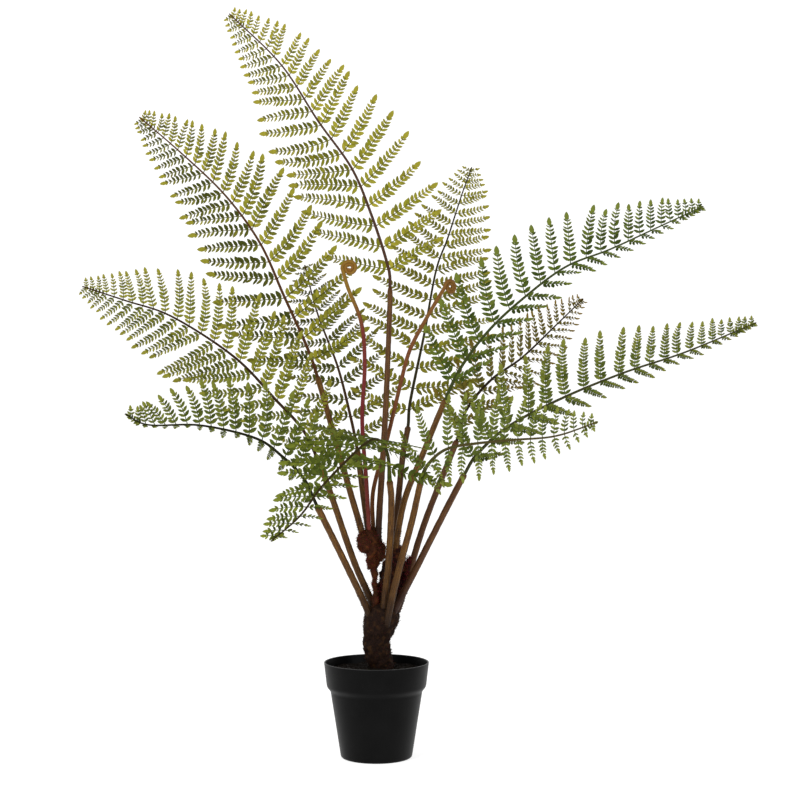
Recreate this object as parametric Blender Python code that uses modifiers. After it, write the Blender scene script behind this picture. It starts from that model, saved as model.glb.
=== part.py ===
"""Potted fern, an artificial plant in a moulded pot, modelled in metres with +Z up.

The origin is the centre of the pot's base, on the surface that the pot stands on.
The fern is seen from the front along +Y, with +X to the right.
Each frond plugs into the top of its own brown stem. The stems are bedded in the hairy
crowns and in the trunk, and the trunk stands in the heavy filling of the pot.
"""
import math

import bmesh
import bpy
import numpy as np
from mathutils import Vector

MM = 0.001
GAP = 0.3 * MM
PLANT = "potted_fern"

POT_HEIGHT = 114 * MM
POT_RIM_RADIUS = 63 * MM
POT_COLLAR_RADIUS = 59.6 * MM
POT_NECK_RADIUS = 55.6 * MM
POT_FOOT_RADIUS = 42.6 * MM
POT_COLLAR_HEIGHT = 29 * MM
POT_STEP_HEIGHT = 5 * MM
POT_GROOVE_DEPTH = 0.8 * MM
POT_GROOVE_HEIGHT = 4 * MM
POT_EDGE_ROUND = 3 * MM
POT_WALL = 1.8 * MM
POT_FLOOR = 2.4 * MM
POT_SIDES = 40

FILLING_TOP = 94 * MM
SOIL_EDGE_TOP = 104 * MM
SOIL_MIDDLE_TOP = 107.5 * MM

STEM_RADII = (4.2 * MM, 3.1 * MM)
STEM_RADII_HEIGHTS = (170 * MM, 560 * MM)
STEM_POINTS = 9
ROUTE_STEPS = 12
SOCKET_RADIUS = 1.9 * MM
SOCKET_DEPTH = 9 * MM
STALK_LENGTH = 8 * MM
SOCKET_SIDES = 12

RACHIS_WIDTH = 2.0 * MM
RACHIS_THICKNESS = 2.2 * MM
RACHIS_TIP_SHARE = 0.5
PINNA_TIP_SHARE = 0.4
PINNA_TIP_WIDTH = 2.0 * MM
PINNA_ROOT_SHARE = 0.45
SHORTEST_PINNA_SHARE = 0.08
BARE_STALK_SHARE = 0.04

FIDDLEHEAD_BASE_RADIUS = 2.6 * MM
FIDDLEHEAD_NECK_RADIUS = 2.3 * MM
FIDDLEHEAD_TIP_RADIUS = 1.3 * MM
COIL_RADIUS = 9.2 * MM
COIL_END_RADIUS = 1.8 * MM
COIL_TURNS = 1.6
COIL_POINTS = 24
CLIMB_STEPS = 3
BEDDED_STRETCHES = 2

# Routes are points in millimetres. "stem" runs up the brown stem from its bedded end to
# its socket, and "blade" goes on from there to the tip of the frond. "faces" is the way
# the top of the blade looks. The pairs of values after that are for the left and the
# right pinnae: "lift" folds them towards that way, in degrees, "pinna" is the longest one
# in millimetres, "lean" is their angle to the rib at its foot, middle and tip, and "fall"
# says how late they get shorter. "foot" gives the share of its full length that the first
# pinna has, and the share of the blade from which on that shortening ends. "crowd" brings
# the pairs closer together at the tip.
FRONDS = {
    "centre_tall": {
        "stem": [(2, -3, 240), (3, -3, 284), (9, 5, 381), (13, 20, 466), (16, 40, 565)],
        "blade": [
            (12, 46, 597), (-8, 58, 659), (-32, 68, 716), (-74, 78, 776), (-122, 92, 850),
            (-188, 110, 917),
        ],
        "faces": (0, -1, 0), "lift": (-8, 5), "pinna": (88, 84), "pairs": 22,
        "lean": ((60, 63, 64), (78, 64, 62)), "fall": (2.3, 2.3), "crowd": 0.65,
        "foot": ((0.78, 0.16), (0.78, 0.16)),
    },
    "upper_left": {
        "stem": [(-13, -4, 252), (-18, -4, 272), (-33, -2, 323), (-51, 0, 386), (-71, 8, 455)],
        "blade": [
            (-85, 14, 494), (-113, 24, 555), (-143, 36, 620), (-187, 50, 680), (-244, 66, 735),
            (-297, 80, 781),
        ],
        "faces": (0, -1, 0), "lift": (8, 10), "pinna": (82, 88), "pairs": 22,
        "lean": ((70, 64, 66), (80, 62, 62)), "fall": (2.3, 2.3), "crowd": 0.65,
        "foot": ((0.78, 0.16), (0.78, 0.16)),
    },
    "back_left": {
        "stem": [(-9, 8, 256), (-10, 10, 271), (-16, 14, 312), (-24, 35, 367)],
        "blade": [(-34, 60, 412), (-51, 100, 472), (-79, 160, 541), (-99, 225, 608)],
        "faces": (0, -1, 0), "lift": (5, 5), "pinna": (66, 70), "pairs": 16,
        "lean": ((70, 66, 64), (70, 60, 60)), "fall": (2.3, 2.3), "crowd": 0.5,
        "foot": ((0.78, 0.16), (0.78, 0.16)),
    },
    "left": {
        "stem": [(-2, 4, 172), (-8, 3, 190), (-28, 0, 237), (-55, -8, 317), (-68, -12, 352)],
        "blade": [
            (-87, -17, 392), (-120, -22, 429), (-168, -28, 479), (-240, -36, 526),
            (-295, -42, 545), (-344, -48, 561),
        ],
        "faces": (0, -1, 0), "lift": (14, 0), "pinna": (88, 84), "pairs": 22,
        "lean": ((50, 62, 62), (66, 60, 66)), "fall": (2.3, 2.3), "crowd": 0.62,
        "foot": ((0.35, 0.42), (0.6, 0.25)),
    },
    "lower_left": {
        "stem": [(-8, -8, 167), (-14, -11, 185), (-39, -28, 240), (-68, -55, 303)],
        "blade": [
            (-83, -72, 337), (-107, -95, 364), (-135, -120, 385), (-192, -160, 400),
            (-245, -190, 401), (-268, -205, 413),
        ],
        "faces": (0, -1, 0), "lift": (72, 0), "pinna": (40, 68), "pairs": 18,
        "lean": ((70, 66, 64), (66, 64, 60)), "fall": (0.8, 2.3), "crowd": 0.45,
        "foot": ((0.78, 0.16), (0.78, 0.16)),
    },
    "front_left": {
        "stem": [(8, -11, 170), (10, -14, 190), (15, -20, 238), (18, -30, 305), (16, -38, 333)],
        "blade": [
            (14, -52, 363), (5, -75, 381), (-12, -110, 378), (-54, -190, 337), (-77, -240, 306),
            (-103, -300, 284),
        ],
        "faces": (0, -0.3, 1), "lift": (0, 0), "pinna": (50, 104), "pairs": 15,
        "lean": ((105, 105, 100), (80, 77, 72)), "fall": (1.6, 1.1), "crowd": 0.24,
        "foot": ((0.78, 0.16), (0.78, 0.16)),
    },
    "upper_centre": {
        "stem": [(20, 12, 240), (22, 13, 262), (31, 28, 355), (38, 42, 395)],
        "blade": [
            (41, 58, 427), (59, 112, 512), (75, 165, 596), (91, 192, 641), (110, 222, 700),
            (125, 250, 742),
        ],
        "faces": (0, -1, 0), "lift": (0, 0), "pinna": (84, 95), "pairs": 20,
        "lean": ((72, 72, 68), (62, 56, 54)), "fall": (2.3, 2.3), "crowd": 0.6,
        "foot": ((0.78, 0.16), (0.78, 0.16)),
    },
    "upper_right": {
        "stem": [(23, 3, 238), (25, 3, 265), (35, 6, 312), (55, 11, 361), (83, 20, 428)],
        "blade": [
            (102, 30, 467), (137, 50, 513), (181, 68, 554), (236, 90, 595), (293, 102, 618),
            (353, 114, 646), (415, 125, 675),
        ],
        "faces": (0, -1, 0), "lift": (0, 52), "pinna": (82, 58), "pairs": 21,
        "lean": ((54, 61, 68), (58, 58, 58)), "fall": (2.3, 1.0), "crowd": 0.65,
        "foot": ((0.78, 0.16), (0.78, 0.16)),
    },
    "middle_right": {
        "stem": [(23, 6, 168), (32, 8, 195), (44, 10, 236), (61, 14, 288), (97, 28, 378)],
        "blade": [
            (110, 50, 416), (142, 84, 453), (186, 150, 483), (233, 215, 525), (278, 275, 566),
        ],
        "faces": (0, -1, 0), "lift": (25, 30), "pinna": (56, 50), "pairs": 16,
        "lean": ((58, 60, 60), (54, 52, 50)), "fall": (2.3, 2.3), "crowd": 0.4,
        "foot": ((0.78, 0.16), (0.78, 0.16)),
    },
    "front_right": {
        "stem": [(12, -16, 156), (15, -19, 175), (26, -27, 224), (42, -36, 284), (53, -44, 333)],
        "blade": [
            (62, -54, 354), (82, -68, 371), (114, -90, 378), (156, -120, 383), (201, -150, 388),
            (244, -180, 404),
        ],
        "faces": (-0.57, -0.82, 0), "lift": (0, 0), "pinna": (58, 50), "pairs": 15,
        "lean": ((75, 75, 70), (118, 92, 84)), "fall": (2.3, 1.3), "crowd": 0.4,
        "foot": ((0.78, 0.16), (0.5, 0.35)),
    },
    "right": {
        "stem": [(17, -5, 164), (22, -6, 177), (46, -10, 224), (68, -14, 268), (105, -19, 340)],
        "blade": [
            (121, -22, 365), (157, -26, 397), (219, -34, 430), (291, -42, 460), (362, -50, 484),
            (443, -60, 518),
        ],
        "faces": (0, -1, 0), "lift": (0, 58), "pinna": (72, 60), "pairs": 21,
        "lean": ((60, 66, 68), (58, 58, 56)), "fall": (1.8, 1.0), "crowd": 0.65,
        "foot": ((0.78, 0.16), (0.78, 0.16)),
    },
}

# A fiddlehead's stem climbs to its coil. "turned" is how far the coil is turned about
# the upright, in degrees from facing the front.
FIDDLEHEADS = {
    "left": {
        "stem": [
            (-9, -10, 256), (-9, -9, 275), (-12, -8, 330), (-17, -6, 403), (-14, -5, 470), (-18, -5, 520),
            (-34, -5, 562),
        ],
        "coil": (-32, -5, 586), "turned": 0,
    },
    "right": {
        "stem": [
            (-3, 3, 256), (-4, 5, 275), (-4, 12, 319), (13, 19, 382), (27, 21, 440), (40, 18, 488),
            (62, 14, 530),
        ],
        "coil": (89, 12, 564), "turned": 42,
    },
}

# Hairy growths: points up the middle in millimetres, each with its own radius.
TRUNK = [
    ((8, 0, 62), 12), ((7, 0, 104), 14), ((2, 0, 121), 15.5), ((0, 0, 140), 16),
    ((3, 0, 156), 19), ((7, 0, 170), 20.5), ((8, 0, 180), 16), ((8, 0, 186), 8),
]
CROWNS = {
    "crown_left": [
        ((0, -5, 172), 3), ((-1, -4, 198), 3), ((-3, -1, 222), 3.6), ((-5, 0, 232), 9),
        ((-6, 0, 246), 14), ((-7, 0, 260), 13.5), ((-8, 0, 270), 10), ((-8, 0, 274), 5),
    ],
    "crown_middle": [
        ((8, 6, 174), 7), ((13, 6, 194), 8), ((19, 6, 214), 11), ((23, 7, 232), 12.5),
        ((23, 8, 248), 11), ((23, 8, 256), 5),
    ],
    "crown_right": [
        ((33.3, 8.3, 199), 4.8), ((36.5, 9, 210), 6.2), ((41, 9.6, 226), 6.6), ((44.6, 10, 238), 4.8),
    ],
}
BEDDED_IN = {
    "crown_left": [
        "stem_centre_tall", "stem_upper_left", "stem_back_left", "fiddlehead_left", "fiddlehead_right",
    ],
    "crown_middle": ["stem_upper_centre", "stem_upper_right"],
    "crown_right": ["stem_middle_right"],
    "trunk": [
        "stem_left", "stem_lower_left", "stem_front_left", "stem_middle_right", "stem_front_right",
        "stem_right", "crown_left", "crown_middle",
    ],
}

# Colour, roughness and metallic value of each sub-part.
POT_PLASTIC = ((0.012, 0.012, 0.012), 0.42, 0.0)
CEMENT = ((0.20, 0.19, 0.18), 0.9, 0.0)
SOIL = ((0.014, 0.012, 0.008), 0.95, 0.0)
DARK_HAIR = ((0.022, 0.010, 0.006), 0.9, 0.0)
RUSTY_HAIR = ((0.060, 0.020, 0.011), 0.9, 0.0)
STEM_BROWN = ((0.110, 0.062, 0.028), 0.6, 0.0)
LEAF_GREEN = ((0.150, 0.200, 0.050), 0.55, 0.0)
YOUNG_FROND = ((0.250, 0.090, 0.035), 0.55, 0.0)


def clear_scene():
    """Take every object out of the opened scene."""
    for thing in list(bpy.data.objects):
        bpy.data.objects.remove(thing, do_unlink=True)


def new_collection(name):
    """A collection linked to the scene."""
    collection = bpy.data.collections.new(name)
    bpy.context.scene.collection.children.link(collection)
    return collection


def finish(thing, look):
    """Give an object its own material from a (colour, roughness, metallic) look."""
    colour, roughness, metallic = look
    material = bpy.data.materials.new(thing.name)
    material.use_nodes = True
    shader = material.node_tree.nodes["Principled BSDF"]
    shader.inputs["Base Color"].default_value = (*colour, 1)
    shader.inputs["Roughness"].default_value = roughness
    shader.inputs["Metallic"].default_value = metallic
    thing.data.materials.clear()
    thing.data.materials.append(material)


def new_object(name, mesh, collection):
    """An object for a mesh, in the collection."""
    thing = bpy.data.objects.new(name, mesh)
    collection.objects.link(thing)
    return thing


def smooth_route(points, steps=ROUTE_STEPS):
    """A dense smooth curve that passes through the points (Catmull-Rom), as an array."""
    knots = np.array(points, dtype=float)
    before = 2 * knots[0] - knots[1]
    after = 2 * knots[-1] - knots[-2]
    padded = np.vstack([before, knots, after])
    share = np.linspace(0, 1, steps, endpoint=False)[:, None]
    stretches = []
    for a, b, c, d in zip(padded, padded[1:], padded[2:], padded[3:]):
        bend = (2 * a - 5 * b + 4 * c - d) * share**2 + (3 * b - a - 3 * c + d) * share**3
        stretches.append(0.5 * (2 * b + (c - a) * share + bend))
    return np.vstack(stretches + [knots[-1:]])


def along(route, shares):
    """Positions on a route at the given shares of its length."""
    lengths = np.linalg.norm(np.diff(route, axis=0), axis=1)
    travelled = np.concatenate([[0], np.cumsum(lengths)])
    wanted = np.asarray(shares) * travelled[-1]
    return np.column_stack([np.interp(wanted, travelled, route[:, axis]) for axis in range(3)])


def unit(vectors):
    """Vectors of length 1, the same way as those given."""
    vectors = np.asarray(vectors, dtype=float)
    return vectors / np.linalg.norm(vectors, axis=-1, keepdims=True)


def tube(name, points, radii, collection):
    """A round rod through the points, with a radius at each, as a welded closed mesh."""
    curve = bpy.data.curves.new(name, "CURVE")
    curve.dimensions = "3D"
    curve.bevel_depth = 1.0
    curve.bevel_resolution = 2
    curve.use_fill_caps = True
    spline = curve.splines.new("POLY")
    spline.points.add(len(points) - 1)
    for knot, place, radius in zip(spline.points, points, radii):
        knot.co = (*place, 1)
        knot.radius = radius
    guide = new_object(name + "_curve", curve, collection)
    bpy.context.view_layer.update()
    evaluated = guide.evaluated_get(bpy.context.evaluated_depsgraph_get())
    mesh = bpy.data.meshes.new_from_object(evaluated)
    bpy.data.objects.remove(guide, do_unlink=True)
    weld(mesh)
    mesh.name = name
    thing = new_object(name, mesh, collection)
    mesh.shade_smooth()
    mesh.set_sharp_from_angle(angle=math.radians(50))
    return thing


def weld(mesh):
    """Join a mesh's doubled vertices and turn its faces outwards."""
    shape = bmesh.new()
    shape.from_mesh(mesh)
    bmesh.ops.remove_doubles(shape, verts=shape.verts, dist=0.00001)
    bmesh.ops.recalc_face_normals(shape, faces=shape.faces)
    shape.to_mesh(mesh)
    shape.free()


def hide_cutter(cutter):
    """Keep a cutter out of the finished plant."""
    cutter.hide_render = True
    cutter.display_type = "WIRE"


def cut(thing, cutter):
    """Take the cutter's space out of the object."""
    boolean = thing.modifiers.new("cut_" + cutter.name, "BOOLEAN")
    boolean.operation = "DIFFERENCE"
    boolean.object = cutter


def clearance(name, points, radii, cutters):
    """A cutter round a rod, larger by the gap all round and at its lower end."""
    points = np.array(points, dtype=float)
    points[0] += unit(points[0] - points[1]) * GAP
    cutter = tube(name + "_clearance", points, np.asarray(radii) + GAP, cutters)
    hide_cutter(cutter)
    return cutter


def turned_body(name, profile, collection):
    """A body turned about the upright axis from (radius, height) points."""
    mesh = bpy.data.meshes.new(name)
    places = [(radius, 0, height) for radius, height in profile]
    edges = [(i, i + 1) for i in range(len(places) - 1)]
    mesh.from_pydata(places, edges, [])
    thing = new_object(name, mesh, collection)
    screw = thing.modifiers.new("turn", "SCREW")
    screw.steps = POT_SIDES
    screw.render_steps = POT_SIDES
    screw.use_merge_vertices = True
    screw.merge_threshold = 0.00001
    screw.use_smooth_shade = True
    return thing


def pot_inner_radius(height):
    """The radius of the pot's inner wall at a height above its base."""
    neck = POT_HEIGHT - POT_COLLAR_HEIGHT - POT_STEP_HEIGHT
    heights = (POT_FLOOR, neck, neck + POT_STEP_HEIGHT, POT_HEIGHT)
    outer = (POT_FOOT_RADIUS, POT_NECK_RADIUS, POT_COLLAR_RADIUS, POT_RIM_RADIUS)
    return float(np.interp(height, heights, outer)) - POT_WALL


def make_pot(collection):
    """The moulded pot: a thin wall with a collar, a step under it and a closed floor."""
    neck = POT_HEIGHT - POT_COLLAR_HEIGHT - POT_STEP_HEIGHT
    collar = neck + POT_STEP_HEIGHT
    groove_radius = POT_NECK_RADIUS - POT_GROOVE_DEPTH
    rim_round = POT_WALL / 2
    profile = [
        (0, POT_FLOOR),
        (pot_inner_radius(POT_FLOOR), POT_FLOOR),
        (pot_inner_radius(neck), neck),
        (pot_inner_radius(collar), collar),
        (pot_inner_radius(POT_HEIGHT), POT_HEIGHT - rim_round),
        (POT_RIM_RADIUS - rim_round, POT_HEIGHT),
        (POT_RIM_RADIUS, POT_HEIGHT - rim_round),
        (POT_COLLAR_RADIUS, collar),
        (POT_NECK_RADIUS, neck),
        (groove_radius, neck - POT_GROOVE_HEIGHT / 2),
        (groove_radius, neck - POT_GROOVE_HEIGHT),
        (POT_FOOT_RADIUS, POT_EDGE_ROUND),
        (POT_FOOT_RADIUS - 0.3 * POT_EDGE_ROUND, 0.3 * POT_EDGE_ROUND),
        (POT_FOOT_RADIUS - POT_EDGE_ROUND, 0),
        (0, 0),
    ]
    pot = turned_body("pot", profile, collection)
    finish(pot, POT_PLASTIC)
    return pot


def make_filling(collection, trunk_clearance):
    """The heavy casting that fills the pot and grips the foot of the trunk."""
    neck = POT_HEIGHT - POT_COLLAR_HEIGHT - POT_STEP_HEIGHT
    collar = neck + POT_STEP_HEIGHT
    bottom = POT_FLOOR + GAP
    profile = [
        (0, FILLING_TOP),
        (pot_inner_radius(FILLING_TOP) - GAP, FILLING_TOP),
        (pot_inner_radius(collar) - GAP, collar),
        (pot_inner_radius(neck) - GAP, neck),
        (pot_inner_radius(bottom) - GAP, bottom),
        (0, bottom),
    ]
    filling = turned_body("filling", profile, collection)
    cut(filling, trunk_clearance)
    finish(filling, CEMENT)
    return filling


def make_soil(collection, trunk_clearance):
    """The dark layer of soil crumbs and moss on the filling, a little higher in the middle."""
    bottom = FILLING_TOP + GAP
    middle_radius = 0.45 * POT_NECK_RADIUS
    profile = [
        (0, SOIL_MIDDLE_TOP),
        (middle_radius, SOIL_MIDDLE_TOP),
        (pot_inner_radius(SOIL_EDGE_TOP) - GAP, SOIL_EDGE_TOP),
        (pot_inner_radius(bottom) - GAP, bottom),
        (0, bottom),
    ]
    soil = turned_body("soil", profile, collection)
    cut(soil, trunk_clearance)
    finish(soil, SOIL)
    return soil


def growth_points(growth):
    """Places and radii in metres of a hairy growth, smoothed between its points."""
    table = np.array([(*place, radius) for place, radius in growth], dtype=float) * MM
    dense = smooth_route(table, steps=3)
    return dense[:, :3], dense[:, 3]


def make_growth(name, growth, look, collection, cutters):
    """A lumpy hair-covered growth, and the cutter that makes room for it."""
    places, radii = growth_points(growth)
    body = tube(name, places, radii, collection)
    finish(body, look)
    return body, clearance(name, places, radii, cutters)


def frond_routes(frond):
    """The smooth routes of the stem and the blade in metres, and the way through their joint."""
    whole = smooth_route(np.array(frond["stem"] + frond["blade"]) * MM)
    joint = ROUTE_STEPS * (len(frond["stem"]) - 1)
    return whole[: joint + 1], whole[joint:], unit(whole[joint + 1] - whole[joint - 1])


def make_stem(name, route, way, collection, cutters):
    """A brown tube stem with a blind socket in its top, and the cutter for its bed."""
    shares = np.linspace(0, 1, STEM_POINTS)
    places = along(route, shares)
    places[-2] = places[-1] - way * 1.5 * SOCKET_DEPTH
    radii = np.interp(places[:, 2], STEM_RADII_HEIGHTS, STEM_RADII)
    stem = tube(name, places, radii, collection)
    bore = bpy.data.meshes.new(name + "_bore")
    shape = bmesh.new()
    bmesh.ops.create_cone(
        shape, cap_ends=True, segments=SOCKET_SIDES, radius1=SOCKET_RADIUS,
        radius2=SOCKET_RADIUS, depth=2 * SOCKET_DEPTH,
    )
    shape.to_mesh(bore)
    shape.free()
    cutter = new_object(name + "_bore", bore, cutters)
    cutter.location = places[-1]
    cutter.rotation_mode = "QUATERNION"
    cutter.rotation_quaternion = Vector(way).to_track_quat("Z", "Y")
    hide_cutter(cutter)
    cut(stem, cutter)
    finish(stem, STEM_BROWN)
    return stem, clearance(name, places, radii, cutters)


def blade_frames(route, shares, faces):
    """Places, forward ways, upward ways and rightward ways along a blade."""
    step = 0.002
    places = along(route, shares)
    ahead = along(route, np.clip(shares + step, 0, 1))
    behind = along(route, np.clip(shares - step, 0, 1))
    forward = unit(ahead - behind)
    looks = unit(faces)
    upward = unit(looks - forward * (forward @ looks)[:, None])
    return places, forward, upward, np.cross(forward, upward)


def pinna_length_share(share, fall, foot):
    """How long the pinnae are at a share of the blade's length, from 0 to 1."""
    first_length, full_from = foot
    growing = first_length + (1 - first_length) * min(1, share / full_from)
    falling = SHORTEST_PINNA_SHARE + (1 - SHORTEST_PINNA_SHARE) * (1 - share**fall)
    return growing * falling


def pinna_start(part, crowd):
    """The share of the blade's length at which a pinna starts: closer towards the tip."""
    crowded = part + crowd * part * (1 - part)
    return BARE_STALK_SHARE + (1 - BARE_STALK_SHARE) * crowded


def rib_rows(route, way, frond):
    """The rows of points along a blade's rib: where each is, and its ways and share.

    The first row is the foot of the stalk, and the second is where the stalk leaves its
    socket. Then come two rows for each pair of pinnae, at the ends of their roots, and
    one at the tip.
    """
    pairs = frond["pairs"]
    roots = [
        pinna_start((index + part) / pairs, frond["crowd"])
        for index in range(pairs) for part in (0, PINNA_ROOT_SHARE)
    ]
    shares = np.array([0.0] + roots + [1.0])
    places, forward, upward, rightward = blade_frames(route, shares, frond["faces"])
    foot = places[0] - way * STALK_LENGTH
    return {
        "places": np.vstack([foot, places]),
        "forward": np.vstack([forward[:1], forward]),
        "upward": np.vstack([upward[:1], upward]),
        "rightward": np.vstack([rightward[:1], rightward]),
        "shares": np.concatenate([[0.0], shares]),
    }


def pinna_tip(rows, row, frond, side):
    """The middle of a pinna's pointed end, and the way onward along the rib beside it."""
    sign = -1 if side == 0 else 1
    lift = math.radians(frond["lift"][side])
    share = (rows["shares"][row] + rows["shares"][row + 1]) / 2
    reach = frond["pinna"][side] * MM * pinna_length_share(
        share, frond["fall"][side], frond["foot"][side]
    )
    out = sign * rows["rightward"][row] * math.cos(lift) + rows["upward"][row] * math.sin(lift)
    onward = unit(rows["forward"][row] + rows["forward"][row + 1])
    lean = math.radians(np.interp(share, (0, 0.5, 1), frond["lean"][side]))
    aim = onward * math.cos(lean) + out * math.sin(lean)
    root = (rows["places"][row] + rows["places"][row + 1]) / 2
    return root + aim * reach, onward


def frond_sheet(rows, frond):
    """The points, thickness weights and faces of a comb-shaped sheet: a rib with pinnae."""
    thickness = 1 - rows["shares"] * RACHIS_TIP_SHARE
    half_widths = RACHIS_WIDTH / 2 * thickness
    points = []
    weights = []
    for place, side, half, thick in zip(rows["places"], rows["rightward"], half_widths, thickness):
        points += [place - side * half, place + side * half]
        weights += [thick, thick]
    last = len(rows["places"]) - 1
    faces = [(2 * i, 2 * i + 1, 2 * i + 3, 2 * i + 2) for i in range(last)]
    for row in range(2, last, 2):
        for side in (0, 1):
            tip, onward = pinna_tip(rows, row, frond, side)
            first = len(points)
            points += [tip - onward * PINNA_TIP_WIDTH / 2, tip + onward * PINNA_TIP_WIDTH / 2]
            weights += [PINNA_TIP_SHARE, PINNA_TIP_SHARE]
            near = 2 * row + side
            far = near + 2
            faces.append((near, far, first + 1, first) if side == 0 else (near, first, first + 1, far))
    return points, weights, faces


def make_frond(name, frond, route, way, collection):
    """A frond: the comb-shaped sheet made solid, thick along its rib and thin at its tips."""
    points, weights, faces = frond_sheet(rib_rows(route, way, frond), frond)
    mesh = bpy.data.meshes.new(name)
    mesh.from_pydata([tuple(point) for point in points], [], faces)
    blade = new_object(name, mesh, collection)
    group = blade.vertex_groups.new(name="thickness")
    for number, weight in enumerate(weights):
        group.add([number], weight, "REPLACE")
    solidify = blade.modifiers.new("thickness", "SOLIDIFY")
    solidify.thickness = RACHIS_THICKNESS
    solidify.offset = 0
    solidify.vertex_group = group.name
    finish(blade, LEAF_GREEN)
    return blade


def coil_points(centre, turned, start_angle):
    """Points of a fiddlehead's coil, winding inwards clockwise as seen from the front."""
    shares = np.linspace(0, 1, COIL_POINTS)
    radii = COIL_RADIUS + (COIL_END_RADIUS - COIL_RADIUS) * shares**0.8
    angles = start_angle - 2 * math.pi * COIL_TURNS * shares
    sideways = radii * np.cos(angles)
    turn = math.radians(turned)
    offsets = np.column_stack([
        sideways * math.cos(turn), sideways * math.sin(turn), radii * np.sin(angles),
    ])
    return np.array(centre) * MM + offsets


def make_fiddlehead(name, fiddlehead, collection, cutters):
    """A young curled frond: one tapering rod that climbs and then winds into a coil."""
    coil = coil_points(fiddlehead["coil"], fiddlehead["turned"], math.pi)
    knots = np.vstack([np.array(fiddlehead["stem"]) * MM, coil[:1]])
    climb = smooth_route(knots, CLIMB_STEPS)
    places = np.vstack([climb, coil[1:]])
    climb_radii = np.linspace(FIDDLEHEAD_BASE_RADIUS, FIDDLEHEAD_NECK_RADIUS, len(climb))
    coil_radii = np.linspace(FIDDLEHEAD_NECK_RADIUS, FIDDLEHEAD_TIP_RADIUS, len(coil))[1:]
    radii = np.concatenate([climb_radii, coil_radii])
    body = tube(name, places, radii, collection)
    finish(body, YOUNG_FROND)
    bedded = BEDDED_STRETCHES * CLIMB_STEPS + 1
    return body, clearance(name, places[:bedded], radii[:bedded], cutters)


def build():
    """Make every sub-part of the plant."""
    clear_scene()
    plant = new_collection(PLANT)
    cutters = new_collection("cutters")
    bodies = {}
    beds = {}

    for name, frond in FRONDS.items():
        stem_route, blade_route, way = frond_routes(frond)
        stem_name = "stem_" + name
        bodies[stem_name], beds[stem_name] = make_stem(stem_name, stem_route, way, plant, cutters)
        make_frond("frond_" + name, frond, blade_route, way, plant)
    for name, fiddlehead in FIDDLEHEADS.items():
        full_name = "fiddlehead_" + name
        bodies[full_name], beds[full_name] = make_fiddlehead(full_name, fiddlehead, plant, cutters)

    bodies["trunk"], beds["trunk"] = make_growth("trunk", TRUNK, DARK_HAIR, plant, cutters)
    for name, growth in CROWNS.items():
        bodies[name], beds[name] = make_growth(name, growth, RUSTY_HAIR, plant, cutters)
    for holder, bedded in BEDDED_IN.items():
        for name in bedded:
            cut(bodies[holder], beds[name])

    make_pot(plant)
    make_filling(plant, beds["trunk"])
    make_soil(plant, beds["trunk"])


build()
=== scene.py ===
"""The looks of a potted artificial fern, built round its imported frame."""
# %% [markdown]
# # A potted fern, leaf by leaf
#
# The frame holds the fern's construction: the pot, the filling, the trunk, the stems
# and one simple solid for each frond. This lesson makes the surfaces that the eye sees.
# Every shape is worked out with numpy as whole arrays, and each array becomes one mesh.
# All lengths are in metres, and a route's points are written in millimetres.

# %% Load the frame
import math

import bpy
import numpy as np
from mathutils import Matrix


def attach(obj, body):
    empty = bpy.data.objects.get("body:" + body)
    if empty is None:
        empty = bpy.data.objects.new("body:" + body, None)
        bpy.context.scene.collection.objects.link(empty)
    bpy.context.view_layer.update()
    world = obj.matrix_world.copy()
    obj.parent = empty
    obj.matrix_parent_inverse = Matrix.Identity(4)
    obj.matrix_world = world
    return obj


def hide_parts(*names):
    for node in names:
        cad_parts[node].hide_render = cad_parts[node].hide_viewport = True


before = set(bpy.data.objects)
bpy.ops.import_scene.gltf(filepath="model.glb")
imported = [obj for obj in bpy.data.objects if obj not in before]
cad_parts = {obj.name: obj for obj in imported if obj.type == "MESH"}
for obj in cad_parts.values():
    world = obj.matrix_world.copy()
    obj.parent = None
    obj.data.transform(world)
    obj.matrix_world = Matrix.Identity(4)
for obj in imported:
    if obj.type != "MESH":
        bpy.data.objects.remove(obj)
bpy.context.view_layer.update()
MM = 0.001
print("nodes in the frame:", len(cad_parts))

# %% [markdown]
# ## Camera and studio
#
# The photograph was taken level, from two metres away, with a long lens, so the pot's
# rim is a thin ellipse. The camera stands at that distance and height. The backdrop is
# one pale sheet that curves up from floor to wall, as in a product studio, so there is
# no edge behind the plant. It is a profile (flat, a quarter of a circle, upright)
# repeated along X.

# %% Camera, backdrop and lights
CAMERA_PLACE = (0.0282, -2.0, 0.428)
LENS_MM = 75

camera = bpy.data.objects.new("camera", bpy.data.cameras.new("camera"))
camera.location = CAMERA_PLACE
camera.rotation_euler = (math.pi / 2, 0, 0)
camera.data.lens = LENS_MM
bpy.context.scene.collection.objects.link(camera)
bpy.context.scene.camera = camera
bpy.context.scene.view_settings.view_transform = "Standard"


def linear(code, share=1.0):
    """A '#rrggbb' screen colour as linear red, green, blue and alpha."""
    screen = np.array([int(code[i:i + 2], 16) for i in (1, 3, 5)]) / 255
    light = np.where(screen <= 0.04045, screen / 12.92, ((screen + 0.055) / 1.055) ** 2.4)
    return (*(light * share), 1.0)


def add_node(tree, kind, settings=None, links=None, **inputs):
    """A node with its settings, its input values and the sockets that feed its inputs.

    Names with spaces are written with underscores: Base_Color stands for Base Color.
    """
    node = tree.nodes.new(kind)
    for name, value in (settings or {}).items():
        setattr(node, name, value)
    for name, value in inputs.items():
        node.inputs[name.replace("_", " ")].default_value = value
    for name, socket in (links or {}).items():
        tree.links.new(socket, node.inputs[name])
    return node


def new_material(name, **values):
    """A material with one Principled shader, and that shader."""
    material = bpy.data.materials.new(name)
    material.use_nodes = True
    shader = material.node_tree.nodes["Principled BSDF"]
    for socket, value in values.items():
        shader.inputs[socket.replace("_", " ")].default_value = value
    return material, material.node_tree, shader


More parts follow.
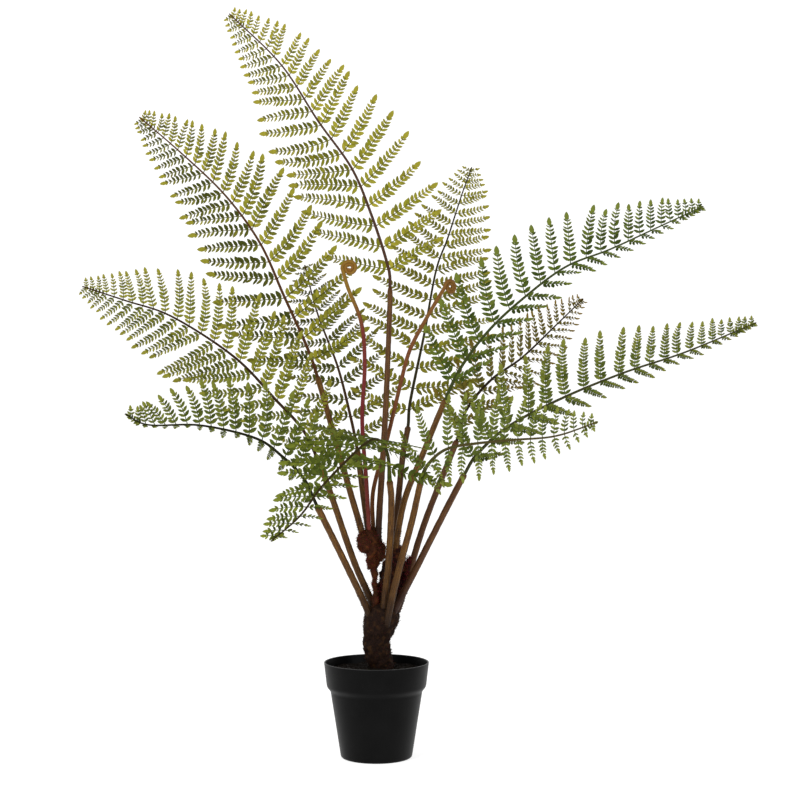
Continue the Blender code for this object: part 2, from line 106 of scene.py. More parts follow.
def ramp(tree, factor, stops):
    """A Color Ramp node: stops are (position, colour) pairs, blended in a straight line."""
    node = add_node(tree, "ShaderNodeValToRGB", links={"Fac": factor})
    elements = node.color_ramp.elements
    while len(elements) < len(stops):
        elements.new(0.5)
    for element, (position, colour) in zip(elements, stops):
        element.position = position
        element.color = colour
    return node.outputs["Color"]


def mesh_object(name, points, faces, material, smooth_below=50):
    """A mesh object from its points and its faces, which are a triangle and a quad array."""
    mesh = bpy.data.meshes.new(name)
    triangles, quads = faces
    mesh.from_pydata(points, [], triangles.tolist() + quads.tolist())
    mesh.materials.append(material)
    mesh.shade_smooth()
    mesh.set_sharp_from_angle(angle=math.radians(smooth_below))
    thing = bpy.data.objects.new(name, mesh)
    bpy.context.scene.collection.objects.link(thing)
    return thing


backdrop_material, _, _ = new_material(
    "white_paper", Base_Color=linear("#bdbdbd"), Roughness=0.9, Emission_Color=linear("#ffffff"), Emission_Strength=0.75
)
bend = np.linspace(0, math.pi / 2, 25)
BEND_RADIUS = 1.5
WALL_Y = 4.0
profile = np.vstack([
    [[-6.0, 0.0]],
    np.column_stack([WALL_Y - BEND_RADIUS + BEND_RADIUS * np.sin(bend), BEND_RADIUS * (1 - np.cos(bend))]),
    [[WALL_Y, 6.0]],
])
backdrop_points = np.vstack([np.insert(profile, 0, x, axis=1) for x in (-8.0, 8.0)])
first = np.arange(len(profile) - 1)
quads = np.column_stack([first, first + len(profile), first + len(profile) + 1, first + 1])
NO_TRIANGLES = np.empty((0, 3), dtype=int)
NO_QUADS = np.empty((0, 4), dtype=int)
backdrop = mesh_object("backdrop", backdrop_points, (NO_TRIANGLES, quads), backdrop_material)


def area_light(name, place, aim, size, power):
    """A square soft light that shines from its place towards the point it aims at."""
    light = bpy.data.lights.new(name, "AREA")
    light.size = size
    light.energy = power
    thing = bpy.data.objects.new(name, light)
    thing.location = place
    way = np.array(aim) - np.array(place)
    level = math.hypot(way[0], way[1])
    thing.rotation_euler = (math.atan2(level, -way[2]), 0, math.atan2(-way[0], way[1]))
    bpy.context.scene.collection.objects.link(thing)
    return thing


area_light("key_light", (-1.6, -2.2, 2.4), (0, 0, 0.45), 1.2, 60)
area_light("fill_light", (2.2, -2.0, 1.4), (0, 0, 0.45), 1.2, 25)
world = bpy.data.worlds.new("studio")
bpy.context.scene.world = world
world.use_nodes = True
world.node_tree.nodes["Background"].inputs["Color"].default_value = linear("#ffffff")
world.node_tree.nodes["Background"].inputs["Strength"].default_value = 0.3

# %% [markdown]
# ## Smooth routes, tubes and noise
#
# A stem, a rib and a coil are all the same thing: a smooth route with a round section
# carried along it. The route runs through a few chosen points, and between them it is
# the Catmull-Rom cubic, which leaves each point parallel to the line between its two
# neighbours. The section is a ring of points round the route, in two directions at
# right angles to it.

# %% Route, tube and noise helpers
MOST_BUMP_WAVES = 14


def unit(ways):
    """Vectors of length 1: each vector over its own length."""
    return ways / np.linalg.norm(ways, axis=-1, keepdims=True)


def smooth_route(knots, count):
    """count points, an equal distance apart, on the Catmull-Rom curve through the knots."""
    knots = np.asarray(knots, dtype=float)
    padded = np.vstack([2 * knots[:1] - knots[1:2], knots, 2 * knots[-1:] - knots[-2:-1]])
    a, b, c, d = padded[:-3, None], padded[1:-2, None], padded[2:-1, None], padded[3:, None]
    t = np.linspace(0, 1, 24, endpoint=False)[None, :, None]
    cubic = 2 * b + (c - a) * t + (2 * a - 5 * b + 4 * c - d) * t**2 + (3 * b - a - 3 * c + d) * t**3
    dense = np.vstack([0.5 * cubic.reshape(-1, knots.shape[1]), knots[-1:]])
    return resample(dense, np.linspace(0, 1, count))


def resample(route, shares):
    """Positions on a route at the given shares of its length."""
    steps = np.linalg.norm(np.diff(route[:, :3], axis=0), axis=1)
    travelled = np.concatenate([[0], np.cumsum(steps)])
    wanted = np.asarray(shares) * travelled[-1]
    return np.column_stack([np.interp(wanted, travelled, column) for column in route.T])


def ways_along(route, looks):
    """Forward, upward and rightward unit vectors along a route.

    Forward is the slope of the route, upward is the way it looks made square to forward,
    and rightward is forward x upward.
    """
    forward = unit(np.gradient(route, axis=0))
    looks = unit(np.asarray(looks, dtype=float))
    upward = unit(looks - (forward @ looks)[:, None] * forward)
    return forward, upward, np.cross(forward, upward)


def tube_points(route, radii, sides, looks):
    """A grid of points: at each place on the route, a ring of the given radius."""
    _, upward, rightward = ways_along(route, looks)
    turn = np.arange(sides) * 2 * math.pi / sides
    ring = np.cos(turn)[:, None] * rightward[:, None] + np.sin(turn)[:, None] * upward[:, None]
    return route[:, None] + np.asarray(radii).reshape(len(route), -1, 1) * ring


def ring_faces(rings, sides):
    """Quads between neighbouring rings, and a fan round a pole at each end.

    The points are the rings in order, and then the start pole and the end pole.
    """
    row, column = np.meshgrid(np.arange(rings - 1), np.arange(sides), indexing="ij")
    here = row * sides + column
    beside = row * sides + (column + 1) % sides
    quads = np.stack([here, beside, beside + sides, here + sides], axis=-1).reshape(-1, 4)
    around = np.arange(sides)
    after = (around + 1) % sides
    start = np.full(sides, rings * sides)
    last = (rings - 1) * sides
    fans = np.vstack([
        np.column_stack([start, after, around]),
        np.column_stack([start + 1, last + around, last + after]),
    ])
    return fans, quads


def inside_out(faces):
    """The same faces, looking the other way."""
    return tuple(group[:, ::-1] for group in faces)


def repeat_faces(faces, starts):
    """The faces again for each copy of a shape: starts has the number of its first point."""
    return tuple((starts[:, None, None] + group).reshape(-1, group.shape[1]) for group in faces)


def closed_tube(route, radii, sides, looks):
    """Points and faces of a tube whose ends close in a pole at the route's end points."""
    grid = tube_points(route, radii, sides, looks)
    points = np.vstack([grid.reshape(-1, 3), route[:1], route[-1:]])
    return points, ring_faces(len(route), sides)


def bumps(points, size, seed):
    """Smooth noise from -1 to 1: a sum of sine waves in random ways, about size long."""
    rng = np.random.default_rng(seed)
    ways = unit(rng.normal(size=(MOST_BUMP_WAVES, 3))) * rng.uniform(0.7, 1.6, (MOST_BUMP_WAVES, 1))
    phases = rng.uniform(0, 2 * math.pi, MOST_BUMP_WAVES)
    waves = np.sin(points @ ways.T * (2 * math.pi / size) + phases)
    return waves.sum(axis=-1) / math.sqrt(MOST_BUMP_WAVES) * 0.7


def add_attribute(thing, name, colours):
    """Store one colour for each point under a name that a material can read."""
    layer = thing.data.color_attributes.new(name, "FLOAT_COLOR", "POINT")
    full = np.ones((len(thing.data.vertices), 4), dtype=np.float32)
    full[:, : colours.shape[1]] = colours
    layer.data.foreach_set("color", full.ravel())


def add_uv(thing, places):
    """Give the mesh a UV map from one (u, v) place for each point."""
    layer = thing.data.uv_layers.new(name="along")
    corners = np.empty(len(thing.data.loops), dtype=np.int32)
    thing.data.loops.foreach_get("vertex_index", corners)
    layer.data.foreach_set("uv", places[corners].astype(np.float32).ravel())


def stand_for(piece, slot, *nodes):
    """Let a piece ride with the plant and stand for frame nodes; its slot is not used."""
    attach(piece, "root")
    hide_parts(*nodes)
    print(piece.name, "stands for", ", ".join(nodes), "with", len(piece.data.polygons), "faces")
    return piece


def join_parts(parts):
    """One set of points, faces, tints and places from several (points, faces, tints, places)."""
    starts = np.cumsum([0] + [len(part[0]) for part in parts[:-1]])
    shifted = [(triangles + start, quads + start) for start, (_, (triangles, quads), _, _) in zip(starts, parts)]
    return (
        np.vstack([part[0] for part in parts]), tuple(np.vstack(groups) for groups in zip(*shifted)),
        np.vstack([part[2] for part in parts]), np.vstack([part[3] for part in parts]),
    )


def tinted_object(name, parts, material, smooth_below=50):
    """One mesh object from several parts, with their tints and their places on the UV map."""
    points, faces, tints, places = join_parts(parts)
    thing = mesh_object(name, points, faces, material, smooth_below)
    add_attribute(thing, "tint", tints)
    add_uv(thing, places)
    return thing


def tube_part(route, radii, sides, looks, tint, length_scale=1.0):
    """A closed tube as a part, with one tint and its length as the first place."""
    points, faces = closed_tube(route, radii, sides, looks)
    along = np.append(np.repeat(np.linspace(0, length_scale, len(route)), sides), [0, length_scale])
    around = np.append(np.tile(np.arange(sides) / sides, len(route)), [0, 0])
    tints = np.broadcast_to(np.asarray(tint, dtype=float), (len(points), 4))
    return points, faces, tints, np.column_stack([along, around])


# %% [markdown]
# ## The pot
#
# The pot is injection-moulded black polypropylene, turned in shape: a foot, a wall that
# leans out, a groove, a step, a tall collar and a thin round rim. A turned shape is one
# profile repeated round an axis, so the profile is drawn once, with its edges rounded
# by small arcs, and a grid of points carries it round.

# %% Pot
POT_SIDES = 144
POT_PROFILE = [
    # radius, height and how round the corner is, all in millimetres
    (0.01, 2.4, 0), (39.4, 2.4, 3), (53.2, 80, 1), (57.6, 85, 2), (61.2, 114, 0.85),
    (63, 114, 0.85), (59.6, 85, 2.2), (55.6, 80, 1.5), (54.8, 78, 0.8), (54.6, 76, 0.8),
    (42.6, 0, 3.2), (30, 0, 1), (29, 1.2, 0.8), (0.01, 1.2, 0),
]


def rounded(profile, steps=5):
    """The profile with every corner replaced by a curve of the given size."""
    corners = np.array([row[:2] for row in profile])
    rows = [corners[:1]]
    shares = np.linspace(0, 1, steps + 1)[:, None]
    for before, corner, after, size in zip(corners, corners[1:], corners[2:], [row[2] for row in profile[1:]]):
        start = corner + unit(before - corner) * min(size, 0.45 * np.linalg.norm(before - corner))
        end = corner + unit(after - corner) * min(size, 0.45 * np.linalg.norm(after - corner))
        rows.append((1 - shares) ** 2 * start + 2 * shares * (1 - shares) * corner + shares**2 * end)
    return np.vstack(rows + [corners[-1:]]) * MM


def turned_mesh(profile, sides):
    """Points and faces of a profile carried round the upright axis, closed at both ends."""
    turn = np.arange(sides) * 2 * math.pi / sides
    inner = profile[1:-1]
    across = inner[:, None, 0] * np.cos(turn), inner[:, None, 0] * np.sin(turn)
    heights = np.broadcast_to(inner[:, 1:], (len(inner), sides))
    grid = np.stack([*across, heights], axis=-1).reshape(-1, 3)
    poles = [(0, 0, profile[0, 1]), (0, 0, profile[-1, 1])]
    return np.vstack([grid, poles]), inside_out(ring_faces(len(inner), sides))


def place_nodes(tree):
    """The socket that gives the place on the object, in metres."""
    return add_node(tree, "ShaderNodeTexCoord").outputs["Object"]


pot_material, tree, shader = new_material("black_polypropylene", Specular_IOR_Level=0.08)
place = place_nodes(tree)
mottle = add_node(tree, "ShaderNodeTexNoise", links={"Vector": place}, Scale=35.0, Detail=4.0)
grain = add_node(tree, "ShaderNodeTexNoise", links={"Vector": place}, Scale=1400.0, Detail=2.0)
colour = ramp(tree, mottle.outputs["Fac"], [(0.3, linear("#030303")), (0.7, linear("#090909"))])
heights = add_node(tree, "ShaderNodeSeparateXYZ", links={"Vector": place})
# Painted highlight: the rim's top edge, above 113.2 mm, is blended to pale grey where the top light catches it.
rim_highlight_share = add_node(tree, "ShaderNodeMapRange", links={"Value": heights.outputs["Z"]}, From_Min=0.1132, From_Max=0.1142)
rim_highlighted = add_node(
    tree, "ShaderNodeMixRGB", links={"Fac": rim_highlight_share.outputs["Result"], "Color1": colour}, Color2=linear("#4a4a4a")
)
tree.links.new(rim_highlighted.outputs["Color"], shader.inputs["Base Color"])
rough = add_node(tree, "ShaderNodeMapRange", links={"Value": mottle.outputs["Fac"]}, To_Min=0.34, To_Max=0.46)
tree.links.new(rough.outputs["Result"], shader.inputs["Roughness"])
relief = add_node(tree, "ShaderNodeBump", links={"Height": grain.outputs["Fac"]}, Strength=0.16, Distance=0.0002)
tree.links.new(relief.outputs["Normal"], shader.inputs["Normal"])

pot = mesh_object("pot_body", *turned_mesh(rounded(POT_PROFILE), POT_SIDES), pot_material, 40)
stand_for(pot, "pot_plastic", "pot")

# %% [markdown]
# ## The filling and the soil
#
# The filling is a grey casting that no one sees once the soil is on it. It keeps its
# frame solid and gets a rough cement finish. The soil is a thin layer of dark crumbs
# and dry moss, glued on. It is a sheet of rings, raised in the middle and pushed up and
# down by smooth noise, with loose crumbs on top. A crumb is a small eight-sided lump,
# and every crumb is the same lump, turned and stretched.

# %% Filling, soil, crumbs and moss
cement, tree, shader = new_material("cast_cement", Roughness=0.92)
place = place_nodes(tree)
sand = add_node(tree, "ShaderNodeTexNoise", links={"Vector": place}, Scale=260.0, Detail=6.0)
colour = ramp(tree, sand.outputs["Fac"], [(0.3, linear("#5c5955")), (0.7, linear("#8b8780"))])
tree.links.new(colour, shader.inputs["Base Color"])
relief = add_node(tree, "ShaderNodeBump", links={"Height": sand.outputs["Fac"]}, Strength=0.5, Distance=0.0005)
tree.links.new(relief.outputs["Normal"], shader.inputs["Normal"])
for material_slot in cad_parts["filling"].material_slots:
    material_slot.material = cement

soil_material, tree, shader = new_material("peat_crumbs_and_dry_moss", Roughness=0.95, Specular_IOR_Level=0.08)
place = place_nodes(tree)
tint = add_node(tree, "ShaderNodeAttribute", {"attribute_name": "tint"})
parted = add_node(tree, "ShaderNodeSeparateColor", links={"Color": tint.outputs["Color"]})
clods = add_node(tree, "ShaderNodeTexNoise", links={"Vector": place}, Scale=420.0, Detail=6.0, Roughness=0.7)
peat = ramp(tree, clods.outputs["Fac"], [(0.3, linear("#060504")), (0.55, linear("#15100b")), (0.75, linear("#2a1f15"))])
moss = ramp(tree, clods.outputs["Fac"], [(0.3, linear("#2c2c12")), (0.6, linear("#5d5b2a")), (0.75, linear("#83813f"))])
both = add_node(tree, "ShaderNodeMixRGB", links={"Fac": parted.outputs["Red"], "Color1": peat, "Color2": moss})
tree.links.new(both.outputs["Color"], shader.inputs["Base Color"])
relief = add_node(tree, "ShaderNodeBump", links={"Height": clods.outputs["Fac"]}, Strength=0.8, Distance=0.0006)
tree.links.new(relief.outputs["Normal"], shader.inputs["Normal"])

SOIL_RINGS = 60
SOIL_SIDES = 150
SOIL_RADIUS = 57.6
CRUMBS = 1700
MOSS_BLADES = 1500


def soil_height(across):
    """The height of the soil at points (x, y): domed by 3.5 mm, with clods."""
    distance = np.linalg.norm(across, axis=-1) / (SOIL_RADIUS * MM)
    dome = 104.2 * MM + 3.3 * MM * np.clip(1 - distance**2, 0, 1)
    flat = np.column_stack([across, np.zeros(len(across))])
    return dome + 1.1 * MM * bumps(flat, 0.018, 3) + 0.5 * MM * bumps(flat, 0.006, 4)


def soil_parts():
    """The lumpy top of the soil, closed by a flat sheet under it."""
    shares = np.linspace(0, 1, SOIL_RINGS)[1:] ** 0.9
    turn = np.arange(SOIL_SIDES) * 2 * math.pi / SOIL_SIDES
    radii = shares * SOIL_RADIUS * MM
    across = np.stack([radii[:, None] * np.cos(turn), radii[:, None] * np.sin(turn)], axis=-1).reshape(-1, 2)
    top = np.column_stack([across, soil_height(across)])
    skirt = np.column_stack([across[-SOIL_SIDES:] * 0.97, np.full(SOIL_SIDES, 96 * MM)])
    middle = [(0, 0, soil_height(np.zeros((1, 2)))[0]), (0, 0, 96 * MM)]
    points = np.vstack([top, skirt, middle])
    tints = np.tile([0.0, 0.0, 0.5, 0.0], (len(points), 1))
    return points, ring_faces(len(shares) + 1, SOIL_SIDES), tints, points[:, :2] / MM


def scattered(template, faces, places, turns, sizes, tints):
    """Copies of one small shape: each turned by its own matrix, sized, and put in place."""
    points = np.einsum("nij,pj->npi", turns, template) * sizes[:, None] + places[:, None]
    starts = np.arange(len(places)) * len(template)
    spread = np.repeat(tints, len(template), axis=0)
    uv = np.tile(template[:, :2], (len(places), 1))
    return points.reshape(-1, 3), repeat_faces(faces, starts), spread, uv


def turn_matrices(ways, rng):
    """A matrix for each way that turns Z to that way, with a random turn round it."""
    helper = rng.normal(size=ways.shape)
    side = unit(np.cross(ways, helper))
    return np.stack([side, np.cross(ways, side), ways], axis=-1)


rng = np.random.default_rng(11)
LUMP = np.array([(1, 0, 0.1), (-1, 0, 0), (0, 0.8, 0), (0, -0.9, 0.1), (0, 0, 0.8), (0, 0, -0.8)], dtype=float)
LUMP_FACES = np.array([(0, 2, 4), (2, 1, 4), (1, 3, 4), (3, 0, 4), (2, 0, 5), (1, 2, 5), (3, 1, 5), (0, 3, 5)]), NO_QUADS
angle = rng.uniform(0, 2 * math.pi, CRUMBS)
reach = SOIL_RADIUS * MM * 0.97 * np.sqrt(rng.uniform(0, 1, CRUMBS))
across = np.column_stack([reach * np.cos(angle), reach * np.sin(angle)])
crumb_places = np.column_stack([across, soil_height(across)])
crumb_sizes = rng.uniform(0.5, 1.7, (CRUMBS, 1)) * MM * rng.uniform(0.6, 1.2, (CRUMBS, 3))
crumb_tints = np.column_stack([np.zeros((CRUMBS, 2)), rng.uniform(0, 1, CRUMBS), np.zeros(CRUMBS)])
crumbs = scattered(LUMP, LUMP_FACES, crumb_places, turn_matrices(unit(rng.normal(size=(CRUMBS, 3))), rng), crumb_sizes, crumb_tints)

BLADE = np.array([(-0.12, 0, 0), (0.12, 0.04, 0), (0, -0.12, 0), (0, 0, 1)], dtype=float)
BLADE_FACES = np.array([(0, 2, 3), (2, 1, 3), (1, 0, 3), (0, 1, 2)]), NO_QUADS
patch = rng.integers(0, 6, MOSS_BLADES)
centres = np.array([(-36, -34), (-24, -46), (1, -44), (20, -40), (-8, -30), (34, -28)]) * MM
across = centres[patch] + rng.normal(size=(MOSS_BLADES, 2)) * np.array([4.5, 3.0]) * MM
moss_places = np.column_stack([across, soil_height(across) - 0.3 * MM])
ways = unit(rng.normal(size=(MOSS_BLADES, 3)) * 0.6 + [0, 0, 1.0])
moss_sizes = np.repeat(rng.uniform(1.2, 3.2, (MOSS_BLADES, 1)), 3, axis=1) * MM
moss_tints = np.column_stack([rng.uniform(0.5, 1, MOSS_BLADES), np.zeros((MOSS_BLADES, 3))])
moss = scattered(BLADE, BLADE_FACES, moss_places, turn_matrices(ways, rng), moss_sizes, moss_tints)

soil = tinted_object("soil_layer", [soil_parts(), crumbs, moss], soil_material, 180)
stand_for(soil, "soil", "soil")

# %% [markdown]
# ## The trunk and the hairy crowns
#
# The trunk and the crowns are foam cores rolled in flock: short fibres glued on end. The
# core is a tube whose radius changes along its route, pushed in and out by noise. The
# fibres are thin tapered needles that start on the core's surface and lean upwards.
# The trunk is nearly black, the crowns are brown with golden and maroon fibres.

# %% Trunk, crowns and their fibres
HAIR_SIDES = 3


def flock_material(name, dark, light, gold, red):
    """Glued fibres: a dark core, each fibre lighter, gold or red by its tint."""
    material, tree, shader = new_material(name, Roughness=0.8, Specular_IOR_Level=0.12)
    place = place_nodes(tree)
    tint = add_node(tree, "ShaderNodeAttribute", {"attribute_name": "tint"})
    parted = add_node(tree, "ShaderNodeSeparateColor", links={"Color": tint.outputs["Color"]})
    speckle = add_node(tree, "ShaderNodeTexNoise", links={"Vector": place}, Scale=700.0, Detail=5.0)
    base = ramp(tree, speckle.outputs["Fac"], [(0.35, linear(dark)), (0.7, linear(light))])
    patches = add_node(tree, "ShaderNodeTexNoise", links={"Vector": place}, Scale=160.0, Detail=4.0)
    share = add_node(tree, "ShaderNodeMapRange", links={"Value": patches.outputs["Fac"]}, From_Min=0.52, From_Max=0.64)
    share.inputs["To Max"].default_value = 0.45
    patched = add_node(
        tree, "ShaderNodeMixRGB", links={"Fac": share.outputs["Result"], "Color1": base}, Color2=linear(gold, 0.8)
    )
    golden = add_node(
        tree, "ShaderNodeMixRGB",
        links={"Fac": parted.outputs["Green"], "Color1": patched.outputs["Color"]}, Color2=linear(gold),
    )
    reddish = add_node(
        tree, "ShaderNodeMixRGB",
        links={"Fac": parted.outputs["Red"], "Color1": golden.outputs["Color"]}, Color2=linear(red),
    )
    tree.links.new(reddish.outputs["Color"], shader.inputs["Base Color"])
    relief = add_node(tree, "ShaderNodeBump", links={"Height": speckle.outputs["Fac"]}, Strength=0.7, Distance=0.0008)
    tree.links.new(relief.outputs["Normal"], shader.inputs["Normal"])
    return material


def growth_part(rows, count, sides, roughness, seed, tint):
    """A lumpy core from (x, y, z, radius) rows in millimetres, with its surface ways."""
    rows = np.array(rows, dtype=float) * MM
    dense = smooth_route(rows, count)
    route, radii = dense[:, :3], dense[:, 3]
    grid = tube_points(route, radii, sides, (0, -1, 0)).reshape(-1, 3)
    outward = unit(grid - np.repeat(route, sides, axis=0))
    grid = grid + outward * (roughness * (bumps(grid, 0.014, seed) + 0.5 * bumps(grid, 0.005, seed + 1)))[:, None]
    points = np.vstack([grid, route[:1], route[-1:]])
    tints = np.tile(tint, (len(points), 1))
    places = np.column_stack([np.arange(len(points)) % sides / sides, np.arange(len(points)) / len(points)])
    return (points, ring_faces(count, sides), tints, places), grid, outward


def fibres(places, ways, lengths, widths, tints, bend, rng):
    """Tapered three-sided needles: each starts at a place, points its way and droops."""
    count = len(places)
    shares = np.array([0.0, 0.5])
    turn = np.arange(HAIR_SIDES) * 2 * math.pi / HAIR_SIDES
    matrices = turn_matrices(ways, rng)
    side, over = matrices[..., 0], matrices[..., 1]
    ring = np.cos(turn)[:, None] * side[:, None] + np.sin(turn)[:, None] * over[:, None]
    stations = []
    for share in shares:
        centre = places + ways * lengths[:, None] * share + bend * share**2 * lengths[:, None]
        stations.append(centre[:, None] + ring * (widths * (1 - 0.5 * share))[:, None, None])
    tip = places + ways * lengths[:, None] + bend * lengths[:, None]
    points = np.concatenate([*stations, tip[:, None]], axis=1)
    each = points.shape[1]
    first = np.arange(HAIR_SIDES)
    after = (first + 1) % HAIR_SIDES
    quads = np.column_stack([first, after, after + HAIR_SIDES, first + HAIR_SIDES])
    ends = np.column_stack([first + HAIR_SIDES, after + HAIR_SIDES, np.full(HAIR_SIDES, each - 1)])
    faces = repeat_faces((ends, quads), np.arange(count) * each)
    uv = np.tile(np.column_stack([np.repeat([0, 0.5, 1], [3, 3, 1]), np.zeros(7)]), (count, 1))
    return points.reshape(-1, 3), faces, np.repeat(tints, each, axis=0), uv


def coat(grid, outward, count, lengths, width, red, gold, rise, rng):
    """Fibres on random points of a core: they lean out and up, tinted red or gold by share."""
    chosen = rng.integers(0, len(grid), count)
    ways = unit(outward[chosen] + rise * np.array([0, 0, 1.0]) + rng.normal(size=(count, 3)) * 0.45)
    places = grid[chosen] - outward[chosen] * 0.4 * MM
    long = rng.uniform(*lengths, count) * MM
    wide = width * MM * rng.uniform(0.7, 1.3, count)
    tints = np.zeros((count, 4))
    tints[:, 0] = (rng.uniform(0, 1, count) < red) * rng.uniform(0.5, 1, count)
    tints[:, 1] = (rng.uniform(0, 1, count) < gold) * rng.uniform(0.3, 1, count)
    bend = rng.normal(size=(count, 3)) * 0.25
    return fibres(places, ways, long, wide, tints, bend, rng)


dark_flock = flock_material("dark_brown_flock", "#100805", "#2b180f", "#50351a", "#5c1820")
rusty_flock = flock_material("rusty_flock", "#120504", "#30130b", "#744219", "#8c2236")
TRUNK = [
    (8, 0, 62, 12), (7, 0, 104, 14), (2, 0, 121, 15.5), (0, 0, 140, 16), (3, 0, 156, 19),
    (7, 0, 170, 20.5), (8, 0, 180, 16), (8, 0, 186, 8),
]
CROWNS = {
    "left": [
        [
            (1, -6, 172, 4.4), (-1, -6, 198, 3.8), (-3, -5, 222, 4), (-3, -4, 234, 6), (-4, -4, 246, 9),
            (-5, -4, 258, 10), (-8, -5, 268, 8.5), (-8, -5, 276, 3),
        ],
        [(-11, -6, 246, 3), (-13, -7, 251, 8), (-13.5, -8, 258, 9.3), (-13, -7, 266, 7.5), (-12, -6, 272, 2.5)],
        [(-4, -6, 226, 2), (-5, -6, 229, 5.8), (-5, -6, 235, 7), (-4, -6, 241, 5), (-3, -6, 245, 2)],
        [(3, -3, 235, 3), (3, -4, 241, 7), (2, -4, 248, 8), (1, -4, 255, 7.5), (0, -3, 264, 3)],
    ],
    "middle": [[
        (10, 4, 172, 12), (12, 4, 186, 13), (14, 5, 200, 13), (18, 6, 216, 12.5), (22, 7, 232, 12.5),
        (23, 8, 246, 10.5), (23, 8, 256, 4),
    ]],
    "right": [[(20, 6, 178, 6), (24, 7, 191, 6), (31, 8.5, 208, 6), (37, 9.5, 224, 6), (42, 10, 238, 3.5)]],
}
COATS = {
    # fibres on each lump, length range and width in millimetres, red share, gold share, rise
    "left": (1300, (1.2, 3.6), 0.22, 0.3, 0.55, 0.4),
    "middle": (1900, (2, 6), 0.15, 0.3, 0.12, 1.0),
    "right": (1300, (2, 6), 0.2, 0.75, 0.05, 1.2),
}
LUMP_GOLD = {"left": 0.14, "middle": 0.0, "right": 0.0}

rng = np.random.default_rng(21)
core, grid, outward = growth_part(TRUNK, 90, 64, 1.3 * MM, 5, (0, 0, 0.5, 0))
trunk_coat = coat(grid, outward, 3200, (1.5, 4.5), 0.17, 0.12, 0.25, 0.7, rng)
trunk = tinted_object("trunk_flocked", [core, trunk_coat], dark_flock, 180)
stand_for(trunk, "dark_hair", "trunk")
for name, lumps in CROWNS.items():
    parts = []
    for number, rows in enumerate(lumps):
        core, grid, outward = growth_part(rows, 50, 40, 1.7 * MM, 8 + number, (0, LUMP_GOLD[name], 0.5, 0))
        parts += [core, coat(grid, outward, *COATS[name], rng)]
    crown = tinted_object("crown_flocked_" + name, parts, rusty_flock, 180)
    stand_for(crown, "rusty_hair", "crown_" + name)
